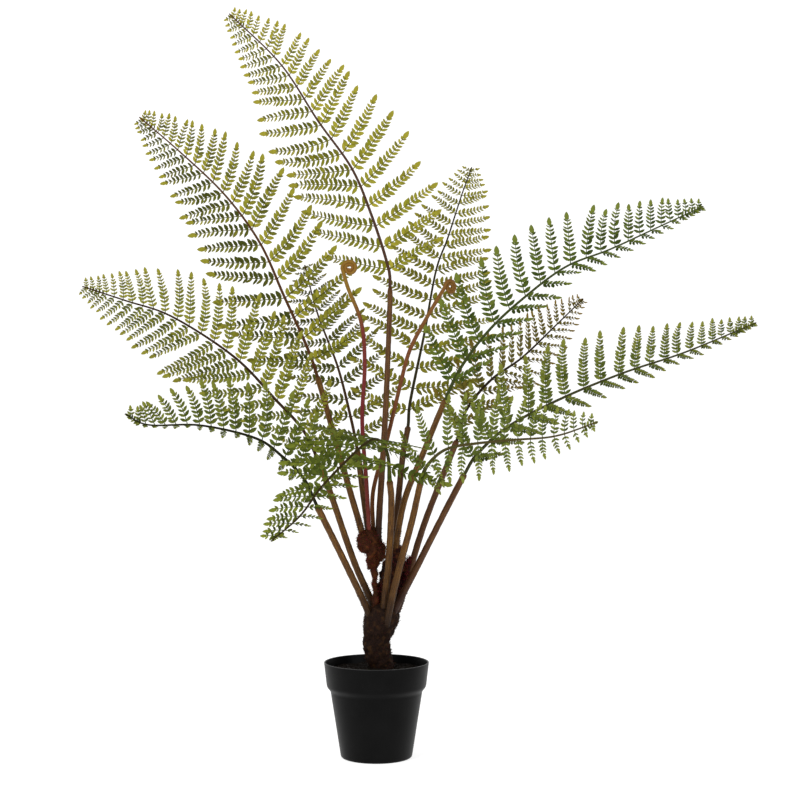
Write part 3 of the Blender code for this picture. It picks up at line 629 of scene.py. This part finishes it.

# %% [markdown]
# ## The fronds in numbers
#
# Each frond is one route: it runs up the brown stem, through the joint, and out along
# the blade to its tip. The pinnae are the small feathers on both sides of the blade.
# "faces" is the way the blade's top looks. "lift" folds the pinnae on the left and right
# towards it, "lean" is their angle from the blade's rib at its foot, middle and tip, and
# "roll" turns each leaflet about its own length, like the slats of a blind.
# "dark" is painted shade: how strongly the leaflets on the left and right are made dark, most on the side of each pinna
# that faces away from the light.

# %% Frond table
FRONDS = {
    "centre_tall": {
        "stem": [(2, -3, 240), (3, -3, 284), (9, 5, 381), (13, 20, 466), (16, 40, 565)],
        "blade": [(12, 46, 597), (-8, 58, 659), (-32, 68, 716), (-74, 78, 776), (-122, 92, 850), (-188, 110, 917)],
        "faces": (0, -1, 0), "lift": (-8, 5), "pinna": (88, 84), "pairs": 22, "crowd": 0.65,
        "lean": ((60, 63, 64), (78, 64, 62)), "roll": (24, 10), "dark": (0.4, 0.15), "foot_gold": (0.1, 0.6), "looks": ("#5d5f1c", "#84861f", "#b0a43a", "#4a3326"),
    },
    "upper_left": {
        "stem": [(-13, -4, 252), (-18, -4, 272), (-33, -2, 323), (-51, 0, 386), (-71, 8, 455)],
        "blade": [(-85, 14, 494), (-113, 24, 555), (-143, 36, 620), (-187, 50, 680), (-244, 66, 735), (-297, 80, 781)],
        "faces": (0, -1, 0), "lift": (8, 10), "pinna": (82, 88), "pairs": 22, "crowd": 0.65,
        "lean": ((70, 64, 66), (80, 62, 62)), "roll": (24, 10), "dark": (0.7, 0.25), "foot_gold": (0.0, 0.8), "looks": ("#3c4314", "#6f7420", "#a89f33", "#4e3018"),
    },
    "back_left": {
        "stem": [(-9, 8, 256), (-10, 10, 271), (-16, 14, 312), (-24, 35, 367)],
        "blade": [(-34, 60, 412), (-51, 100, 472), (-79, 160, 541), (-99, 225, 608)],
        "faces": (0, -1, 0), "lift": (5, 5), "pinna": (66, 70), "pairs": 16,
        "lean": ((70, 66, 64), (70, 60, 60)), "roll": (12, 12), "dark": (0.4, 0.25), "looks": ("#4c5220", "#6c7228", "#92873a", "#46301a"),
    },
    "left": {
        "stem": [(-2, 4, 172), (-8, 3, 190), (-28, 0, 237), (-55, -8, 317), (-68, -12, 352)],
        "blade": [(-87, -17, 392), (-120, -22, 429), (-168, -28, 479), (-240, -36, 526), (-295, -42, 545), (-344, -48, 561)],
        "faces": (0, -1, 0), "lift": (14, 0), "pinna": (88, 84), "pairs": 22, "crowd": 0.62, "leaf": (0.8, 0.82), "foot": ((0.35, 0.42), (0.6, 0.25)),
        "lean": ((50, 62, 62), (66, 60, 66)), "roll": (18, 10), "dark": (0.35, 0.12), "foot_gold": (0.0, 0.5), "looks": ("#4a5216", "#747a20", "#a29a3c", "#33210f"),
    },
    "lower_left": {
        "stem": [(-8, -8, 167), (-14, -11, 185), (-39, -28, 240), (-68, -55, 303)],
        "blade": [(-83, -72, 337), (-107, -95, 364), (-135, -120, 385), (-192, -160, 400), (-245, -190, 401), (-268, -205, 413)],
        "faces": (0, -1, 0), "lift": (72, 0), "pinna": (40, 68), "pairs": 18, "crowd": 0.45, "fall": (0.8, 2.3), "leaf": (0.9, 1.08),
        "lean": ((70, 66, 64), (66, 64, 60)), "roll": (15, 24), "dark": (0.4, 0.2), "looks": ("#3a4714", "#62702a", "#8c8f38", "#20200f"),
    },
    "front_left": {
        "stem": [(8, -11, 170), (10, -14, 190), (15, -20, 238), (18, -30, 305), (16, -38, 333)],
        "blade": [(14, -52, 363), (5, -75, 381), (-12, -110, 378), (-54, -190, 337), (-77, -240, 306), (-103, -300, 284)],
        "faces": (0, -0.3, 1), "lift": (0, 0), "pinna": (56, 104), "pairs": 15, "foot": ((1.25, 0.3), (0.78, 0.16)), "crowd": 0.24, "fall": (1.6, 1.1), "leaf": (1.1, 1.18), "stalk": 0.9,
        "lean": ((105, 105, 100), (80, 77, 72)), "roll": (24, 10), "twist": (0, 48), "dark": (0.3, 0.25), "looks": ("#344012", "#5a6820", "#8a9234", "#33290f"),
    },
    "upper_centre": {
        "stem": [(20, 12, 240), (22, 13, 262), (31, 28, 355), (38, 42, 395)],
        "blade": [(41, 58, 427), (59, 112, 512), (75, 165, 596), (91, 192, 641), (110, 222, 700), (125, 250, 742)],
        "faces": (0, -1, 0), "lift": (0, 0), "pinna": (84, 95), "pairs": 20, "crowd": 0.6,
        "lean": ((72, 72, 68), (62, 56, 54)), "roll": (10, 10), "dark": (0.25, 0.12), "foot_gold": (0.3, 0.2), "looks": ("#5e5e18", "#868528", "#ada43c", "#3a3520"),
    },
    "upper_right": {
        "stem": [(23, 3, 238), (25, 3, 265), (35, 6, 312), (55, 11, 361), (83, 20, 428)],
        "blade": [
            (102, 30, 467), (137, 50, 513), (181, 68, 554), (236, 90, 595), (293, 102, 618), (353, 114, 646),
            (415, 125, 675),
        ],
        "faces": (0, -1, 0), "lift": (0, 52), "pinna": (82, 58), "pairs": 21, "crowd": 0.65, "leaf": (1.1, 1.2), "fall": (2.3, 1.0),
        "lean": ((54, 61, 68), (58, 58, 58)), "roll": (20, 20), "dark": (0.3, 0.45), "looks": ("#334316", "#586c24", "#848c3c", "#3c4520"),
    },
    "middle_right": {
        "stem": [(23, 6, 168), (32, 8, 195), (44, 10, 236), (61, 14, 288), (97, 28, 378)],
        "blade": [(110, 50, 416), (142, 84, 453), (186, 150, 483), (233, 215, 525), (278, 275, 566)],
        "faces": (0, -1, 0), "lift": (25, 30), "pinna": (56, 50), "pairs": 16, "crowd": 0.4, "leaf": (1.2, 1.15),
        "lean": ((58, 60, 60), (54, 52, 50)), "roll": (10, 20), "dark": (0.2, 0.3), "looks": ("#54511a", "#787430", "#93752e", "#2f2416"),
    },
    "front_right": {
        "stem": [(12, -16, 156), (15, -19, 175), (26, -27, 224), (42, -36, 284), (53, -44, 333)],
        "blade": [(62, -54, 354), (82, -68, 371), (114, -90, 378), (156, -120, 383), (201, -150, 388), (244, -180, 404)],
        "faces": (-0.57, -0.82, 0), "lift": (0, 0), "pinna": (58, 50), "pairs": 15, "foot": ((0.78, 0.16), (0.5, 0.35)), "crowd": 0.4, "leaf": (1.0, 1.0), "stalk": 0.9,
        "lean": ((75, 75, 70), (118, 92, 84)), "roll": (10, 10), "fall": (2.3, 1.3), "dark": (0.25, 0.15), "looks": ("#3c4a18", "#647330", "#8f9440", "#4a4222"),
    },
    "right": {
        "stem": [(17, -5, 164), (22, -6, 177), (46, -10, 224), (68, -14, 268), (105, -19, 340)],
        "blade": [(121, -22, 365), (157, -26, 397), (219, -34, 430), (291, -42, 460), (362, -50, 484), (443, -60, 518)],
        "faces": (0, -1, 0), "lift": (0, 58), "pinna": (72, 60), "pairs": 21, "crowd": 0.65, "leaf": (0.95, 0.95), "tight": 0.82, "fall": (1.8, 1.0),
        "lean": ((60, 66, 68), (58, 58, 56)), "roll": (16, 20), "dark": (0.25, 0.45), "looks": ("#3c4a18", "#62702a", "#8f8f3c", "#3a3a1e"),
    },
}
ROUTE_POINTS = 400
STEM_RADII = (4.2 * MM, 3.1 * MM)
STEM_RADII_HEIGHTS = (170 * MM, 560 * MM)


def whole_route(frond):
    """The stem's route, and the blade's route from the joint to the tip, in metres."""
    knots = np.array(frond["stem"] + frond["blade"], dtype=float) * MM
    padded = smooth_route(knots, 4 * ROUTE_POINTS)
    joint = np.argmin(np.linalg.norm(padded - knots[len(frond["stem"]) - 1], axis=1))
    shares = np.linspace(0, 1, ROUTE_POINTS)
    return resample(padded[: joint + 1], shares), resample(padded[joint:], shares)


routes = {name: whole_route(frond) for name, frond in FRONDS.items()}
for name, (stem_route, blade_route) in routes.items():
    lengths = [np.linalg.norm(np.diff(route, axis=0), axis=1).sum() * 1000 for route in (stem_route, blade_route)]
    print(name, "stem", round(lengths[0]), "mm, blade", round(lengths[1]), "mm")

# %% [markdown]
# ## Brown stems
#
# A stem is a plastic-sleeved wire, painted brown in streaks. Its section is round, with
# slight ribs left by the sleeve, and its upper end is a round lip that the frond's stalk
# comes out of. The streaks are noise stretched along the stem, which the UV map gives.

# %% Stems
stem_material, tree, shader = new_material("streaked_brown_sleeve", Roughness=0.5, Specular_IOR_Level=0.2)
place = place_nodes(tree)
tint = add_node(tree, "ShaderNodeAttribute", {"attribute_name": "tint"})
parted = add_node(tree, "ShaderNodeSeparateColor", links={"Color": tint.outputs["Color"]})
along = add_node(tree, "ShaderNodeUVMap", {"uv_map": "along"})
stretched = add_node(tree, "ShaderNodeVectorMath", {"operation": "MULTIPLY"}, links={0: along.outputs["UV"]})
stretched.inputs[1].default_value = (5.0, 8.0, 1.0)
streaks = add_node(tree, "ShaderNodeTexNoise", links={"Vector": stretched.outputs["Vector"]}, Scale=2.0, Detail=5.0)
brown = ramp(tree, streaks.outputs["Fac"], [(0.34, linear("#3a200a")), (0.5, linear("#6a4417")), (0.68, linear("#976a22"))])
spots = add_node(tree, "ShaderNodeTexNoise", links={"Vector": place}, Scale=900.0, Detail=3.0)
flecks = ramp(tree, spots.outputs["Fac"], [(0.35, linear("#6f6a66")), (0.6, linear("#ffffff"))])
fleckled = add_node(
    tree, "ShaderNodeMixRGB", {"blend_type": "MULTIPLY"}, links={"Color1": brown, "Color2": flecks}, Fac=0.6
)
dark = add_node(
    tree, "ShaderNodeMixRGB", links={"Fac": parted.outputs["Red"], "Color1": fleckled.outputs["Color"]},
    Color2=linear("#20120a"),
)
purple = add_node(
    tree, "ShaderNodeMixRGB", links={"Fac": parted.outputs["Green"], "Color1": dark.outputs["Color"]},
    Color2=linear("#4a2a24"),
)
tree.links.new(purple.outputs["Color"], shader.inputs["Base Color"])
relief = add_node(tree, "ShaderNodeBump", links={"Height": spots.outputs["Fac"]}, Strength=0.35, Distance=0.0003)
tree.links.new(relief.outputs["Normal"], shader.inputs["Normal"])

STEM_RINGS = 70
STEM_SIDES = 20
FOOT_FIBRES = 700
PURPLE = {"right": 0.35, "middle_right": 0.4, "centre_tall": 0.25, "upper_centre": 0.2}
# heights in metres and the darkness there
OTHER_DARK_FOOT = ((0.16, 0.175, 0.2, 0.25, 0.4), (0.95, 0.8, 0.45, 0.18, 0.05))
DARK_FOOT = {
    "centre_tall": ((0.24, 0.275, 0.3, 0.4), (0.95, 0.9, 0.35, 0.15)),
    "upper_centre": ((0.24, 0.3, 0.4, 0.5), (0.7, 0.45, 0.35, 0.3)),
    "back_left": ((0.25, 0.28, 0.32, 0.4), (0.8, 0.5, 0.3, 0.25)),
    "right": ((0.16, 0.19, 0.22, 0.3, 0.4), (0.95, 0.85, 0.4, 0.15, 0.1)),
}


def stem_part(name, route):
    """A stem's tube, and its grid: it narrows upwards, is faintly lumpy and ends in a lip."""
    shares = np.linspace(0, 1, STEM_RINGS)
    places = resample(route, shares)
    radii = np.interp(places[:, 2], STEM_RADII_HEIGHTS, STEM_RADII)
    radii[:3] *= (0.4, 0.75, 0.93)
    radii[-3:] *= (1.05, 1.08, 0.85)
    grid = tube_points(places, radii, STEM_SIDES, (0, -1, 0))
    outward = unit(grid - places[:, None])
    grid = grid + outward * (0.14 * MM * bumps(grid.reshape(-1, 3), 0.012, 9)).reshape(STEM_RINGS, STEM_SIDES, 1)
    points = np.vstack([grid.reshape(-1, 3), places[:1], places[-1:] - (places[-1:] - places[-2:-1]) * 0.3])
    darkness = np.interp(places[:, 2], *DARK_FOOT.get(name, OTHER_DARK_FOOT))
    tints = np.zeros((len(points), 4))
    tints[:-2, 0] = np.repeat(darkness, STEM_SIDES)
    tints[:, 1] = PURPLE.get(name, 0.0)
    along = np.append(np.repeat(shares, STEM_SIDES), [0, 1])
    there_and_back = 1 - np.abs(2 * np.arange(STEM_SIDES) / STEM_SIDES - 1)
    around = np.append(np.tile(there_and_back, STEM_RINGS), [0, 0])
    part = points, ring_faces(STEM_RINGS, STEM_SIDES), tints, np.column_stack([along, around])
    low = places[:, 2] < places[0, 2] + 34 * MM
    return part, grid[low].reshape(-1, 3), outward[low].reshape(-1, 3)


rng = np.random.default_rng(25)
for name, (stem_route, _) in routes.items():
    sleeve, grid, outward = stem_part(name, stem_route)
    down = coat(grid, outward, FOOT_FIBRES, (1.0, 3.0), 0.15, 1.0, 0.0, 0.9, rng)
    stem = tinted_object("stem_sleeve_" + name, [sleeve, down], stem_material, 180)
    stand_for(stem, "stem_brown", "stem_" + name)

# %% [markdown]
# ## Fronds, pinnae and leaflets
#
# A frond is moulded in soft plastic: a rib, pinnae on both sides of it, and leaflets on
# both sides of each pinna. All the leaflets are one small shape, a flat solid of seven
# four-point rings with a scalloped outline. Each copy gets a place on a pinna's rib, a
# way to point, a roll about its own length and a size. The pinnae are longest at the
# foot of the blade, and their length falls as 1 - s^2.3, where s runs from 0 at the foot
# to 1 at the tip. The leaflets shrink in the same way towards the end of a pinna.

# %% The leaflet's shape
LEAFLET_STATIONS = [
    # share of the length, half width as a share of the greatest
    (0.03, 0.35), (0.16, 0.84), (0.3, 0.82), (0.46, 1.0), (0.62, 0.8), (0.76, 0.66), (0.9, 0.28),
]
LEAFLET_THICKNESS = 0.16 * MM


def leaflet_shape():
    """The leaflet's points (length, half width, thickness shares), faces and UV places."""
    stations = np.array(LEAFLET_STATIONS)
    length, half = stations[:, 0], stations[:, 1]
    zero = np.zeros(len(stations))
    ring = np.stack([
        np.column_stack([length, half, zero]), np.column_stack([length, zero, zero + 1]),
        np.column_stack([length, -half, zero]), np.column_stack([length, zero, zero - 1]),
    ], axis=1).reshape(-1, 3)
    points = np.vstack([ring, (0, 0, 0), (1, 0, 0)])
    places = np.column_stack([points[:, 0], 0.5 + 0.5 * points[:, 1]])
    return points, ring_faces(len(stations), 4), places


LEAFLET, LEAFLET_FACES, LEAFLET_PLACES = leaflet_shape()
print("one leaflet:", len(LEAFLET), "points,", sum(map(len, LEAFLET_FACES)), "faces")


def leaflets(places, forward, upward, lengths, widths, hook, cup, tints):
    """Copies of the leaflet as a part.

    A point of a copy is place + length * u * forward + width * v * rightward + thickness
    * h * upward. The outline hooks sideways by hook * length * u^2, and the edges drop by
    cup * width * v^2.
    """
    u, v, h = LEAFLET.T
    rightward = np.cross(forward, upward)
    sideways = widths[:, None] * v + (hook * lengths)[:, None] * u**2
    upwards = LEAFLET_THICKNESS * h - cup * widths[:, None] * v**2 - 0.02 * lengths[:, None] * u**2
    points = (
        places[:, None] + (lengths[:, None] * u)[..., None] * forward[:, None]
        + sideways[..., None] * rightward[:, None] + upwards[..., None] * upward[:, None]
    )
    faces = repeat_faces(LEAFLET_FACES, np.arange(len(places)) * len(LEAFLET))
    spread = np.repeat(tints, len(LEAFLET), axis=0)
    return points.reshape(-1, 3), faces, spread, np.tile(LEAFLET_PLACES, (len(places), 1))


# %% [markdown]
# The leaf finish is matt moulded plastic. The middle colour is broken up by noise, and the
# outer leaflets are more golden, as if sprayed by hand. Some leaflets are made dark: that
# is painted shade, with a random spread, strongest on the side of each pinna that faces
# away from the light. Fine side veins give each leaflet some relief.

# %% Leaf finishes
def leaf_material(name, looks):
    """Matt moulded leaf plastic from a dark, a middle and a golden colour."""
    deep, middle, gold, rib = looks
    material, tree, shader = new_material(name, Roughness=0.6, Specular_IOR_Level=0.06)
    place = place_nodes(tree)
    tint = add_node(tree, "ShaderNodeAttribute", {"attribute_name": "tint"})
    parted = add_node(tree, "ShaderNodeSeparateColor", links={"Color": tint.outputs["Color"]})
    patches = add_node(tree, "ShaderNodeTexNoise", links={"Vector": place}, Scale=150.0, Detail=4.0)
    base = ramp(tree, patches.outputs["Fac"], [(0.32, linear(deep)), (0.6, linear(middle))])
    golden = add_node(
        tree, "ShaderNodeMixRGB", links={"Fac": parted.outputs["Green"], "Color1": base}, Color2=linear(gold)
    )
    # Painted shade: the tint's red share pulls leaflets that face away from the light towards a deep shade colour; on
    # the ribs it gives part of their own dark colour.
    painted_shade_and_ribs = add_node(
        tree, "ShaderNodeMixRGB", links={"Fac": parted.outputs["Red"], "Color1": golden.outputs["Color"]},
        Color2=linear(deep, 0.72),
    )
    ribbed = add_node(
        tree, "ShaderNodeMixRGB", links={"Fac": tint.outputs["Alpha"], "Color1": painted_shade_and_ribs.outputs["Color"]},
        Color2=linear(rib),
    )
    tree.links.new(ribbed.outputs["Color"], shader.inputs["Base Color"])
    along = add_node(tree, "ShaderNodeUVMap", {"uv_map": "along"})
    veins = add_node(tree, "ShaderNodeTexWave", links={"Vector": along.outputs["UV"]}, Scale=2.2, Distortion=1.5)
    relief = add_node(tree, "ShaderNodeBump", links={"Height": veins.outputs["Fac"]}, Strength=0.35, Distance=0.0003)
    tree.links.new(relief.outputs["Normal"], shader.inputs["Normal"])
    return material


# %% [markdown]
# Each pinna gets its own line of points first: it leaves the rib at its lean, bends a
# little towards the tip, and differs from its neighbours by a few degrees. Its leaflets
# stand in pairs on that line, closer together where the pinna is short.

# %% Fronds
PINNA_STEPS = 8
RIB_SIDES = 5
FIRST_PINNA = 0.04
TIP_STRETCH = (0.92, 0.985)
CROWDING = 0.5
LONGEST_LEAFLET = 10.8 * MM
LEAFLET_SPACING = 5.7 * MM
LEAFLET_LEAN = math.radians(62)


def pinna_lines(frond, blade_route, rng):
    """The middle lines, normals and shares of all pinnae of a blade, left ones first."""
    pairs = frond["pairs"]
    part = (np.arange(pairs) + 0.22) / pairs
    shares = FIRST_PINNA + (1 - FIRST_PINNA) * (part + frond.get("crowd", CROWDING) * part * (1 - part))
    forward, upward, rightward = ways_along(blade_route, frond["faces"])
    row = np.clip((shares * (ROUTE_POINTS - 1)).astype(int), 0, ROUTE_POINTS - 1)
    lines, normals, lengths = [], [], []
    for side, sign in ((0, -1), (1, 1)):
        lift = math.radians(frond["lift"][side]) + rng.normal(size=pairs) * 0.06
        outward = sign * rightward[row] * np.cos(lift)[:, None] + upward[row] * np.sin(lift)[:, None]
        normal = upward[row] * np.cos(lift)[:, None] - sign * rightward[row] * np.sin(lift)[:, None]
        least, reach = frond.get("foot", ((0.78, 0.16), (0.78, 0.16)))[side]
        foot = least + (1 - least) * np.clip(shares / reach, 0, 1)
        length = frond["pinna"][side] * MM * (0.08 + 0.92 * (1 - shares ** frond.get("fall", (2.3, 2.3))[side])) * foot
        length = length * rng.uniform(0.94, 1.06, pairs)
        lean = np.radians(np.interp(shares, (0, 0.5, 1), frond["lean"][side]) + rng.normal(size=pairs) * 2.5)
        bend = np.linspace(4, -5, PINNA_STEPS)[None] + rng.normal(size=(pairs, 1)) * np.linspace(-4, 4, PINNA_STEPS)
        angle = lean[:, None] + np.radians(bend)
        way = forward[row][:, None] * np.cos(angle)[..., None] + outward[:, None] * np.sin(angle)[..., None]
        droop = normal[:, None] * np.linspace(0.02, -0.1, PINNA_STEPS)[None, :, None]
        steps = unit(way + droop) * (length / PINNA_STEPS)[:, None, None]
        start = np.zeros((pairs, 1, 3))
        lines.append(blade_route[row][:, None] + np.concatenate([start, np.cumsum(steps, axis=1)], axis=1))
        twist = (math.radians(frond.get("twist", (0, 0))[side]) * shares)[:, None]
        normals.append(normal * np.cos(twist) + forward[row] * np.sin(twist))
        lengths.append(length)
    sides = np.repeat([0, 1], pairs)
    return np.concatenate(lines), np.concatenate(normals), np.concatenate(lengths), np.tile(shares, 2), sides


def pinna_parts(line, normal, length, share, side, frond, rng):
    """One pinna: its rib, its pairs of leaflets and the leaflet at its tip."""
    leaf = frond.get("leaf", (1.0, 1.0))[side]
    # Painted shade: the frond's "dark" share for this side, growing towards the blade's tip.
    dark = frond["dark"][side] * (0.8 + 0.9 * share)
    gold = 0.12 + 0.3 * share**2
    longest = min(LONGEST_LEAFLET, 0.085 * length + 4.2 * MM) * leaf
    spacing = LEAFLET_SPACING * (longest / LONGEST_LEAFLET) ** 0.75 * frond.get("tight", 1.0)
    count = max(2, int(length / spacing - 0.4))
    places = (np.arange(count) + 0.75) / (count + 0.4)
    places = places + 0.16 * places * (1 - places)
    forward, upward, rightward = ways_along(line, normal)
    index = places * PINNA_STEPS
    low = np.clip(index.astype(int), 0, PINNA_STEPS - 1)
    weight = (index - low)[:, None]
    middle = line[low] * (1 - weight) + line[low + 1] * weight
    along, over, right = forward[low], upward[low], rightward[low]
    size = longest * (1.04 - 0.5 * places**2.5)
    foot_gold = frond.get("foot_gold", (0.0, 0.0))[side] * np.exp(-places / 0.14)
    rib_radii = np.linspace(0.7, 0.4, len(line)) * MM * (0.5 + 0.5 * longest / LONGEST_LEAFLET)
    parts = [tube_part(line, rib_radii, RIB_SIDES, normal, (0.3, 0, 0.5, 0.2))]
    for sign in (-1, 1):
        lean = LEAFLET_LEAN + rng.normal(size=(count, 1)) * 0.1 - 0.15 * places[:, None]
        way = np.cos(lean) * along + np.sin(lean) * sign * right
        across = np.cross(way, over)
        turn = math.radians(frond["roll"][side]) + rng.normal(size=(count, 1)) * 0.12
        face = np.cos(turn) * over - sign * np.sin(turn) * across
        lengths = size * rng.uniform(0.88, 1.1, count)
        widths = lengths * rng.uniform(0.215, 0.27, count)
        tints = np.zeros((count, 4))
        # The red share is painted shade with a random spread: the leaflets on the side of the pinna that faces away
        # from the light get three times as much.
        tints[:, 0] = np.clip(rng.normal(dark * (1 + 0.5 * sign), 0.2, count) - foot_gold, 0, 0.85)
        tints[:, 1] = np.clip(gold + 0.5 * places**2 + foot_gold + rng.normal(0, 0.12, count), 0, 1)
        tints[:, 2] = rng.uniform(0, 1, count)
        parts.append(leaflets(middle, way, face, lengths, widths, -sign * 0.05, 0.2, tints))
    tip_length = np.array([1.15 * longest])
    # The tip leaflet gets a little painted shade, a red share of 0.1.
    tip_tint = np.array([[0.1, min(1, gold + 0.4), 0.5, 0.0]])
    tip_place = line[-1:] - forward[-1:] * 1.5 * MM
    parts.append(leaflets(tip_place, forward[-1:], upward[-1:], tip_length, tip_length * 0.28, 0.0, 0.3, tip_tint))
    return parts


def frond_parts(frond, stem_route, blade_route, rng):
    """The rib, from inside the stem's socket to the tip, and all the pinnae."""
    rib_route = np.vstack([resample(stem_route, [0.97]), resample(blade_route, np.linspace(0, 1, 60))])
    shares = np.append(0, np.linspace(0, 1, 60))
    swelling = frond.get("stalk", 0.0) * np.exp(-shares / 0.06)
    rib_radii = (2.0 - 1.2 * shares + swelling) * MM
    rib_radii[0] = 1.3 * MM
    points, faces, tints, places = tube_part(rib_route, rib_radii, 10, frond["faces"], (0.2, 0, 0.5, 1.0))
    tints = tints.copy()
    tints[:-2, 3] = 1 - 0.8 * np.repeat(np.exp(-shares / 0.1) * (swelling[0] > 0), 10)
    parts = [(points, faces, tints, places)]
    lines, normals, lengths, shares, sides = pinna_lines(frond, blade_route, rng)
    for line, normal, length, share, side in zip(lines, normals, lengths, shares, sides):
        parts.extend(pinna_parts(line, normal, length, share, side, frond, rng))
    last_stretch = resample(blade_route, np.linspace(*TIP_STRETCH, PINNA_STEPS + 1))
    reach = np.linalg.norm(np.diff(last_stretch, axis=0), axis=1).sum()
    looks = unit(np.array(frond["faces"], dtype=float))
    parts.extend(pinna_parts(last_stretch, looks, reach, 1.0, 0, frond, rng))
    return parts


SLOTS = {
    "centre_tall": "leaf_yellow_green", "upper_left": "leaf_yellow_green", "left": "leaf_yellow_green",
    "upper_centre": "leaf_yellow_green", "middle_right": "leaf_rusty_green", "back_left": "leaf_rusty_green",
}
rng = np.random.default_rng(31)
for name, (stem_route, blade_route) in routes.items():
    finish = leaf_material("moulded_leaf_" + name, FRONDS[name]["looks"])
    parts = frond_parts(FRONDS[name], stem_route, blade_route, rng)
    piece = tinted_object("frond_leaves_" + name, parts, finish)
    stand_for(piece, SLOTS.get(name, "leaf_deep_green"), "frond_" + name)

# %% [markdown]
# ## Fiddleheads
#
# A fiddlehead is a young frond that's still rolled up: one round rod that climbs and
# then winds into a flat coil. The climb is a smooth route, and the coil is an inward
# spiral, whose radius falls as the 0.8th power of the share. Small fibres stand on it.

# %% Fiddleheads
FIDDLEHEADS = {
    "left": {
        "stem": [
            (-9, -10, 256), (-9, -9, 275), (-12, -8, 330), (-17, -6, 403), (-14, -5, 470), (-18, -5, 520),
            (-34, -5, 562),
        ],
        "coil": (-32, -5, 586), "turned": 0, "red": (0.8, 0.95, 0.85, 0.05, 0.3), "gold": (0.0, 0.05, 0.1, 0.55, 0.7),
    },
    "right": {
        "stem": [
            (-3, 3, 256), (-4, 5, 275), (-4, 12, 319), (13, 19, 382), (27, 21, 440), (40, 18, 488),
            (62, 14, 530),
        ],
        "coil": (89, 12, 564), "turned": 42, "red": (0.5, 0.6, 0.6, 0.4, 0.25), "gold": (0.2, 0.2, 0.2, 0.4, 0.5),
    },
}
young_material, tree, shader = new_material("young_stem_flocked", Roughness=0.6, Specular_IOR_Level=0.15)
place = place_nodes(tree)
tint = add_node(tree, "ShaderNodeAttribute", {"attribute_name": "tint"})
parted = add_node(tree, "ShaderNodeSeparateColor", links={"Color": tint.outputs["Color"]})
mottle = add_node(tree, "ShaderNodeTexNoise", links={"Vector": place}, Scale=380.0, Detail=5.0)
olive = ramp(tree, mottle.outputs["Fac"], [(0.3, linear("#4d4118")), (0.68, linear("#84752c"))])
golden = add_node(
    tree, "ShaderNodeMixRGB", links={"Fac": parted.outputs["Green"], "Color1": olive}, Color2=linear("#926820")
)
red = add_node(
    tree, "ShaderNodeMixRGB", links={"Fac": parted.outputs["Red"], "Color1": golden.outputs["Color"]},
    Color2=linear("#6c1a26"),
)
tree.links.new(red.outputs["Color"], shader.inputs["Base Color"])
relief = add_node(tree, "ShaderNodeBump", links={"Height": mottle.outputs["Fac"]}, Strength=0.5, Distance=0.0004)
tree.links.new(relief.outputs["Normal"], shader.inputs["Normal"])


def fiddlehead_part(fiddlehead):
    """The rod's route: a climb and a coil, its radius from 2.6 mm to 1.2 mm."""
    shares = np.linspace(0, 1, 90)
    spiral = (9.0 + (1.7 - 9.0) * shares**0.9) * MM
    angles = math.pi - 2 * math.pi * 2.0 * shares
    turn = math.radians(fiddlehead["turned"])
    sideways = spiral * np.cos(angles)
    flat = np.column_stack([sideways * math.cos(turn), sideways * math.sin(turn), spiral * np.sin(angles)])
    coil = np.array(fiddlehead["coil"]) * MM + flat
    climb = smooth_route(np.vstack([np.array(fiddlehead["stem"]) * MM, coil[:1]]), 90)
    route = np.vstack([climb[:-1], coil])
    radii = np.concatenate([np.linspace(2.6, 2.3, 89), np.linspace(2.3, 1.75, 90)]) * MM
    across = (math.sin(turn), -math.cos(turn), 0)
    points, faces, _, places = tube_part(route, radii, 18, across, (0, 0, 0, 0), 3.0)
    height = np.append(np.repeat(np.linspace(0, 1, len(route)), 18), [0, 1])
    tints = np.zeros((len(points), 4))
    stops = (0, 0.2, 0.38, 0.45, 1)
    tints[:, 0] = np.interp(height, stops, fiddlehead["red"])
    tints[:, 1] = np.interp(height, stops, fiddlehead["gold"])
    outward = unit(points[:-2] - np.repeat(route, 18, axis=0))
    return (points, faces, tints, places), points[:-2], outward


rng = np.random.default_rng(41)
for name, fiddlehead in FIDDLEHEADS.items():
    rod, grid, outward = fiddlehead_part(fiddlehead)
    down = coat(grid, outward, 900, (0.5, 1.4), 0.08, 0.5, 0.5, 0.6, rng)
    piece = tinted_object("young_frond_" + name, [rod, down], young_material, 180)
    stand_for(piece, "young_frond", "fiddlehead_" + name)
